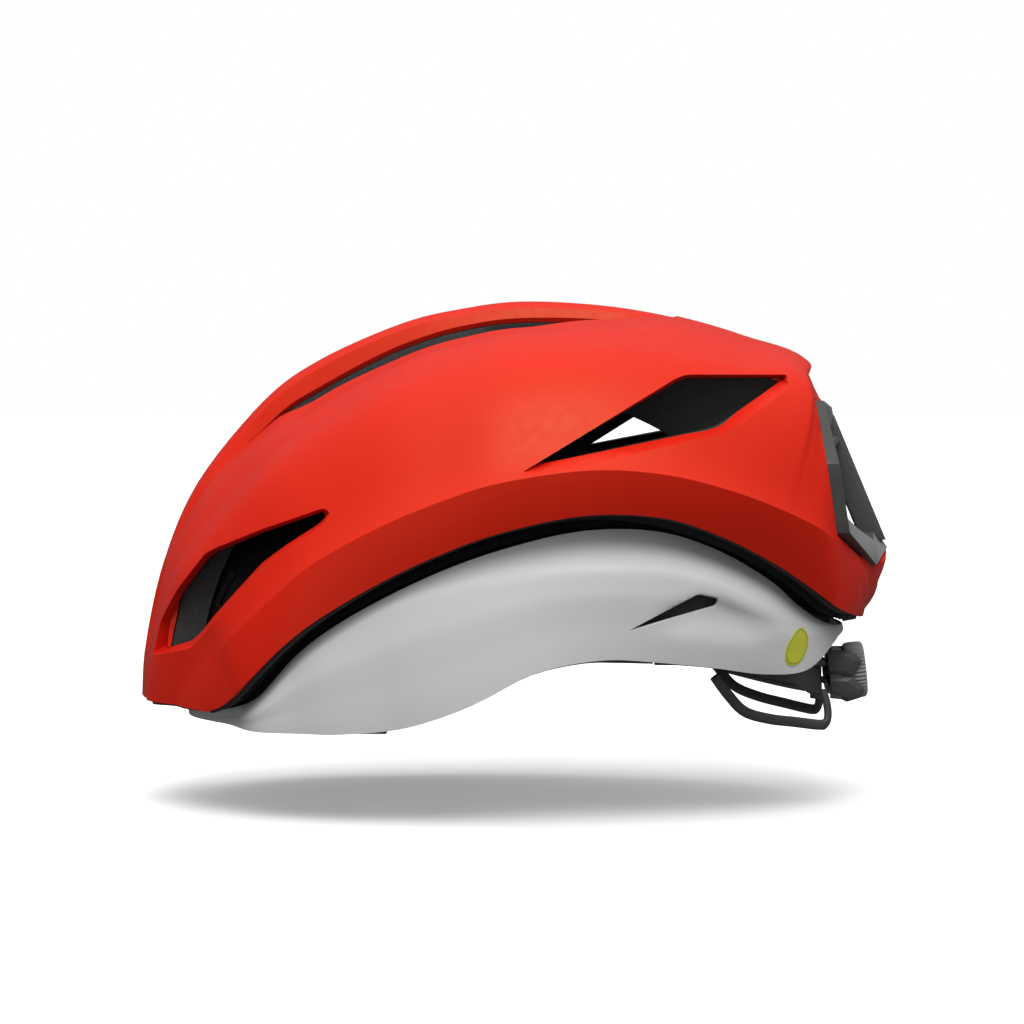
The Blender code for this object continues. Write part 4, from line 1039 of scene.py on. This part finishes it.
UPPER_LOBE = [(111.5, 18.6), (113.4, 22.6), (117.5, 25.2), (125, 25.2), (128.2, 24), (130.7, 21.3),
              (127.4, 15.4), (114.2, 16)]
LOWER_LOBE = [(127.4, 15.4), (131.8, 10.7), (130, 7.5), (125, 6), (120, 8.4), (114.4, 11),
              (111.6, 13.4), (114.2, 16)]


def lobe_mesh(outline, lean):
    """A faceted cheek of the housing beside the dial: flat inside, crowned outside."""
    middle = sum((Vector((0, *p)) for p in outline), Vector()) / len(outline)
    rings = []
    for x, shrink in ((11.1, 1.0), (12.6, 1.0), (13.8, 0.62)):
        ring = []
        for y, z in outline:
            point = middle.lerp(Vector((0, y, z)), shrink)
            point.x = x + lean * (z - 16) * (1 if x > 12 else 0) * 0.06 - (y - 121) * 0.03
            ring.append(point)
        rings.append(ring)
    return loft_mesh(rings)


BOSS = (115.2, 14.8)            # Y and Z of the round boss on each side of the housing


def belt_channel():
    """The room through the housing in which the two belts slide."""
    return strip_mesh(-34, 34, (-7.2, 7.2), (-1.8, 1.8))


def housing():
    """The dial's housing: the CAD plates, and the two faceted cheeks that flank the dial."""
    for side, flip in (("left", False), ("right", True)):
        for end, outline, lean in (("upper", UPPER_LOBE, -1), ("lower", LOWER_LOBE, 1)):
            bm = lobe_mesh(outline, lean)
            item = object_of(f"housing_{end}_{side}", flipped(bm) if flip else bm, CHARCOAL)
            carve(item, belt_channel())
            finished(item, "cradle", "charcoal_plastic", bevel=0.45, sharp=20)
        boss = disc_mesh(Vector((12.2, *BOSS)), (1, 0, 0), 3.1, 3.6, 40)
        item = object_of(f"housing_boss_{side}", flipped(boss) if flip else boss, CHARCOAL)
        hole = disc_mesh(Vector((13.6, *BOSS)), (1, 0, 0), 1.5, 3.0, 6)
        carve(item, flipped(hole) if flip else hole, belt_channel())
        finished(item, "cradle", "charcoal_plastic", bevel=0.3, sharp=30)


def dial():
    """A knurled wheel: rounded edges, ribs along its axis, a dished face at the rear."""
    up = DIAL_AXIS.cross(Vector((1, 0, 0)))
    count = DIAL_RIBS * 6
    rings = []
    profile = [(-0.5, 0.30), (-0.5, 0.84), (-0.46, 0.93), (-0.36, 0.985), (-0.12, 1.0),
               (0.12, 1.0), (0.36, 0.985), (0.46, 0.93), (0.5, 0.86), (0.5, 0.80), (0.40, 0.72),
               (0.37, 0.30)]
    for place, size in profile:
        ribbed = ease((size - 0.84) / 0.1)
        ring = []
        for k in range(count):
            angle = 2 * math.pi * k / count
            radius = DIAL_RADIUS * size - 0.35 * ribbed * (1 - math.cos(DIAL_RIBS * angle))
            ring.append(DIAL_CENTRE + DIAL_AXIS * (DIAL_WIDTH * place)
                        + (Vector((1, 0, 0)) * math.cos(angle) + up * math.sin(angle)) * radius)
        rings.append(ring)
    wheel = object_of("dial_wheel", loft_mesh(rings, closed=True), RUBBER)
    finished(wheel, "dial", "dial_rubber", "dial", sharp=40)


# ---------------------------------------------------------------- pads
PAD_SCALE = 10                  # cloth behaves at this size as it does on a cushion


def puffed(item, voxel, pressure, cap, settle=20):
    """Blow a closed pad up a little by cloth simulation, and bring the result back to its size."""
    step = item.modifiers.new("voxels", "REMESH")
    step.mode = "VOXEL"
    step.voxel_size = voxel * MM
    apply_modifiers(item)
    item.data.transform(Matrix.Scale(PAD_SCALE, 4))
    rest = [v.co.copy() for v in item.data.vertices]
    cloth = item.modifiers.new("cloth", "CLOTH")
    cloth.settings.use_pressure = True
    cloth.settings.uniform_pressure_force = pressure
    cloth.settings.effector_weights.gravity = 0
    cloth.settings.quality = 4
    cloth.point_cache.frame_start, cloth.point_cache.frame_end = 1, settle
    for number in range(1, settle + 1):
        bpy.context.scene.frame_set(number)
    apply_modifiers(item)
    bpy.context.scene.frame_set(1)
    for vertex, start in zip(item.data.vertices, rest):
        move = vertex.co - start
        limit = cap * MM * PAD_SCALE
        vertex.co = start + move * min(1, limit / max(move.length, 1e-9))
    item.data.transform(Matrix.Scale(1 / PAD_SCALE, 4))
    step = item.modifiers.new("smooth", "SUBSURF")
    step.levels = step.render_levels = 1
    return apply_modifiers(item)


def cavity_pad(longitudes, latitudes, thickness, gap, steps=(16, 10)):
    """A pad's mesh on the cavity wall, its corners rounded and its edges thin."""
    faces = []
    for inner in (0, 1):
        grid = []
        for i in range(steps[0] + 1):
            a = 2 * i / steps[0] - 1
            row = []
            for j in range(steps[1] + 1):
                b = 2 * j / steps[1] - 1
                pull = 1 - 0.16 * (a * b) ** 4
                lon = math.radians((longitudes[0] + longitudes[1]) / 2
                                   + (longitudes[1] - longitudes[0]) / 2 * a * pull)
                lat = math.radians((latitudes[0] + latitudes[1]) / 2
                                   + (latitudes[1] - latitudes[0]) / 2 * b * pull)
                ray = Vector((math.sin(lon) * math.cos(lat), -math.cos(lon) * math.cos(lat),
                              math.sin(lat)))
                crown = (1 - a ** 8) * (1 - b ** 6)
                row.append(in_cavity(BALL_CENTRE + ray,
                                     gap + inner * (1.6 + (thickness - 1.6) * crown)))
            grid.append(row)
        faces.append(grid)
    return loft_mesh([top + list(reversed(under)) for top, under in zip(*faces)])


def pads():
    places = {"brow_pad": ((-46, 46), (-3, 11), 1.8), "side_pad": ((66, 100), (20, 44), 1.8),
              "crown_pad": ((52, 82), (50, 66), 3.2), "rear_pad": ((138, 160), (30, 46), 2.6)}
    for name, (longitudes, latitudes, gap) in places.items():
        steps = (36, 8) if name == "brow_pad" else (16, 10)
        item = object_of(name + "_soft", cavity_pad(longitudes, latitudes, 5, gap, steps), PAD)
        puffed(item, 1.6 if name == "brow_pad" else 1.3, 3, 0.9)
        if name == "brow_pad":
            settle_pad(item, name)
            continue
        twin = item.copy()
        twin.data = item.data.copy()
        twin.name = f"{name}_soft_right"
        bpy.context.scene.collection.objects.link(twin)
        twin.data.transform(Matrix.Scale(-1, 4, (1, 0, 0)))
        twin.data.flip_normals()
        item.name = f"{name}_soft_left"
        settle_pad(item, name + "_left")
        settle_pad(twin, name + "_right")
    ridge = [[on_cavity_ridge(k, x, depth) for x, depth in
              ((-9, 0.5), (-4, 0.5), (4, 0.5), (9, 0.5), (8.4, 4.2), (4, 5.5), (-4, 5.5), (-8.4, 4.2))]
             for k in range(25)]
    item = object_of("centre_pad_soft", loft_mesh(ridge), PAD)
    puffed(item, 1.6, 3, 0.7)
    settle_pad(item, "centre_pad")
    for side, sign in (("left", 1), ("right", -1)):
        item = object_of(f"nape_pad_{side}", strip_mesh(sign * 18, sign * 50, (-5.2, 4.8),
                                                        (-6.6, -3.3)), PAD)
        puffed(item, 1.2, 3, 0.4)
        settle_pad(item, f"occipital_pad_{side}", "cradle")


def settle_pad(item, node, body="root"):
    finished(item, body, "pad_fabric", node, sharp=60)


def on_cavity_ridge(k, x, depth):
    """A point of the long pad on the cavity's centre line, from front to rear."""
    angle = math.radians(38 + 62 * k / 24)
    ray = Vector((x, -100 * math.cos(angle), 100 * math.sin(angle)))
    return in_cavity(BALL_CENTRE + ray, depth)


# ---------------------------------------------------------------- label
def labels(tree):
    """A blank oval film on the lower skin, with a plain darker ring, on both sides."""
    crease, hem = along(CREASE, LABEL_STATION), along(HEM, LABEL_STATION)
    ahead = (along(HEM, LABEL_STATION + 0.2) - along(HEM, LABEL_STATION - 0.2)).normalized()
    up = (crease - hem).normalized()
    centre = crease.lerp(hem, 0.52)
    out = ahead.cross(up).normalized()
    if out.x < 0:
        out.negate()

    def film(sizes, lift, name, shade):
        bm = bmesh.new()
        rings = []
        for size in sizes:
            ring = []
            for k in range(48):
                angle = 2 * math.pi * k / 48
                wide, tall = 6.2 * size * math.cos(angle), 6.5 * size * math.sin(angle)
                flat = centre + ahead * (wide + tall * LABEL_LEAN) + up * tall
                hit = tree.ray_cast(flat + out * 20, -out)[0]
                ring.append(bm.verts.new(hit + out * lift))
            rings.append(ring)
        for first, second in zip(rings, rings[1:]):
            for k in range(48):
                n = (k + 1) % 48
                bm.faces.new([first[k], first[n], second[n], second[k]])
        if sizes[-1] < 0.2:
            bm.faces.new(rings[-1])
        bmesh.ops.recalc_face_normals(bm, faces=bm.faces)
        if sum((f.normal.dot(out) for f in bm.faces)) < 0:
            bmesh.ops.reverse_faces(bm, faces=bm.faces)
        for side in ("left", "right"):
            copy = bm.copy()
            item = object_of(f"{name}_{side}", copy if side == "left" else flipped(copy), shade)
            step = item.modifiers.new("thick", "SOLIDIFY")
            step.thickness = 0.00018
            step.offset = -1
            apply_modifiers(item)
            replaced = (f"blank_label_{side}",) if name == "label" else ()
            finished(item, "root", "label_film", *replaced)
        bm.free()

    film((1.0, 0.8, 0.6, 0.4, 0.15), 0.28, "label", LABEL)
    film((0.92, 0.86), 0.34, "label_ring", LABEL_INK)


# ---------------------------------------------------------------- small CAD parts
def dress_cad():
    """Better materials and softened edges for the small parts whose CAD shape is right."""
    for name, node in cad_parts.items():
        if node.hide_render:
            continue
        shade = CHARCOAL
        if name.startswith(("temple_pin", "dial_axle")):
            shade = STEEL
        elif name.startswith("elastomer"):
            shade = RUBBER
        node.data.materials.clear()
        node.data.materials.append(shade)
        weld = node.modifiers.new("weld", "WELD")
        weld.merge_threshold = 0.00001
        add_bevel(node, 0.35, 35)
        node.modifiers.new("normals", "WEIGHTED_NORMAL")


# ---------------------------------------------------------------- stage
def lamp(name, source, power, width, glints):
    data = bpy.data.lights.new(name, "SUN")
    data.energy = power
    data.angle = math.radians(width)
    item = bpy.data.objects.new(name, data)
    item.rotation_euler = (-Vector(source)).to_track_quat("-Z", "Y").to_euler()
    item.visible_glossy = glints
    bpy.context.scene.collection.objects.link(item)


def stage():
    """A white floor and a white surround that is brighter above than below."""
    world = bpy.data.worlds.new("studio")
    world.use_nodes = True
    bpy.context.scene.world = world
    tree = world.node_tree
    surround = tree.nodes["Background"]
    place = tree.nodes.new("ShaderNodeTexCoord")
    split = tree.nodes.new("ShaderNodeSeparateXYZ")
    rise = tree.nodes.new("ShaderNodeMapRange")
    for socket, value in zip(("From Min", "From Max", "To Min", "To Max"), SURROUND):
        rise.inputs[socket].default_value = value
    tree.links.new(place.outputs["Generated"], split.inputs[0])
    tree.links.new(split.outputs["Z"], rise.inputs["Value"])
    tree.links.new(rise.outputs["Result"], surround.inputs["Strength"])
    surround.inputs["Color"].default_value = (1, 1, 1, 1)
    seen = tree.nodes.new("ShaderNodeBackground")
    seen.inputs["Color"].default_value = (1, 1, 1, 1)
    path, mix = tree.nodes.new("ShaderNodeLightPath"), tree.nodes.new("ShaderNodeMixShader")
    tree.links.new(path.outputs["Is Camera Ray"], mix.inputs[0])
    tree.links.new(surround.outputs[0], mix.inputs[1])
    tree.links.new(seen.outputs[0], mix.inputs[2])
    tree.links.new(mix.outputs[0], tree.nodes["World Output"].inputs["Surface"])
    bm = bmesh.new()
    bmesh.ops.create_grid(bm, x_segments=2, y_segments=2, size=12000)
    floor = object_of("floor", bm)
    floor.location.z = FLOOR_Z
    floor.visible_diffuse = floor.visible_glossy = False
    paint = Shade("floor_paint", (0.85, 0.85, 0.85), 0.9, Emission_Color=(1, 1, 1, 1),
                  Emission_Strength=FLOOR_GLOW)
    paint.vary_roughness(paint.noise(3), 0.85, 0.95)
    floor.data.materials.append(paint.material)
    for name, settings in LAMPS.items():
        lamp(name, *settings)


def camera():
    azimuth, elevation = math.radians(AZIMUTH), math.radians(ELEVATION)
    back = Vector((math.sin(azimuth) * math.cos(elevation), -math.cos(azimuth) * math.cos(elevation),
                   math.sin(elevation)))
    data = bpy.data.cameras.new("camera")
    data.lens = LENS
    data.sensor_width = 36
    item = bpy.data.objects.new("camera", data)
    item.location = AIM + back * CAMERA_DISTANCE
    item.rotation_euler = (-back).to_track_quat("-Z", "Y").to_euler()
    bpy.context.scene.collection.objects.link(item)
    bpy.context.scene.camera = item
    bpy.context.scene.view_settings.view_transform = "Standard"


RED = satin_red()
BLACK_FOAM = bead_foam("black_bead_foam", (0.030, 0.030, 0.0305), (0.036, 0.036, 0.0365), 0.6)
INNER_FOAM = bead_foam("inner_bead_foam", (0.018, 0.018, 0.019), (0.024, 0.024, 0.025), 0.7)
GREY = grey_skin()
BLACK_SLICK = slick_black()
CHARCOAL = moulded_charcoal()
# A copy of the charcoal four times paler: painted light on the port frame's faces to the rear.
PAINTED_LIGHT_CHARCOAL = moulded_charcoal("charcoal_painted_light", 4.0)
RUBBER = soft_rubber()
PAD = pad_knit()
LABEL = label_film("label_film", (0.50, 0.52, 0.04))
LABEL_INK = label_film("label_ink", (0.30, 0.32, 0.03))
STEEL = turned_steel()

camera()
stage()
OUTER_SKIN = outer_half()
LOWER_SKIN = inner_half()
inner_foam()
rear_port(OUTER_SKIN)
cradle()
housing()
dial()
pads()
labels(LOWER_SKIN)
dress_cad()
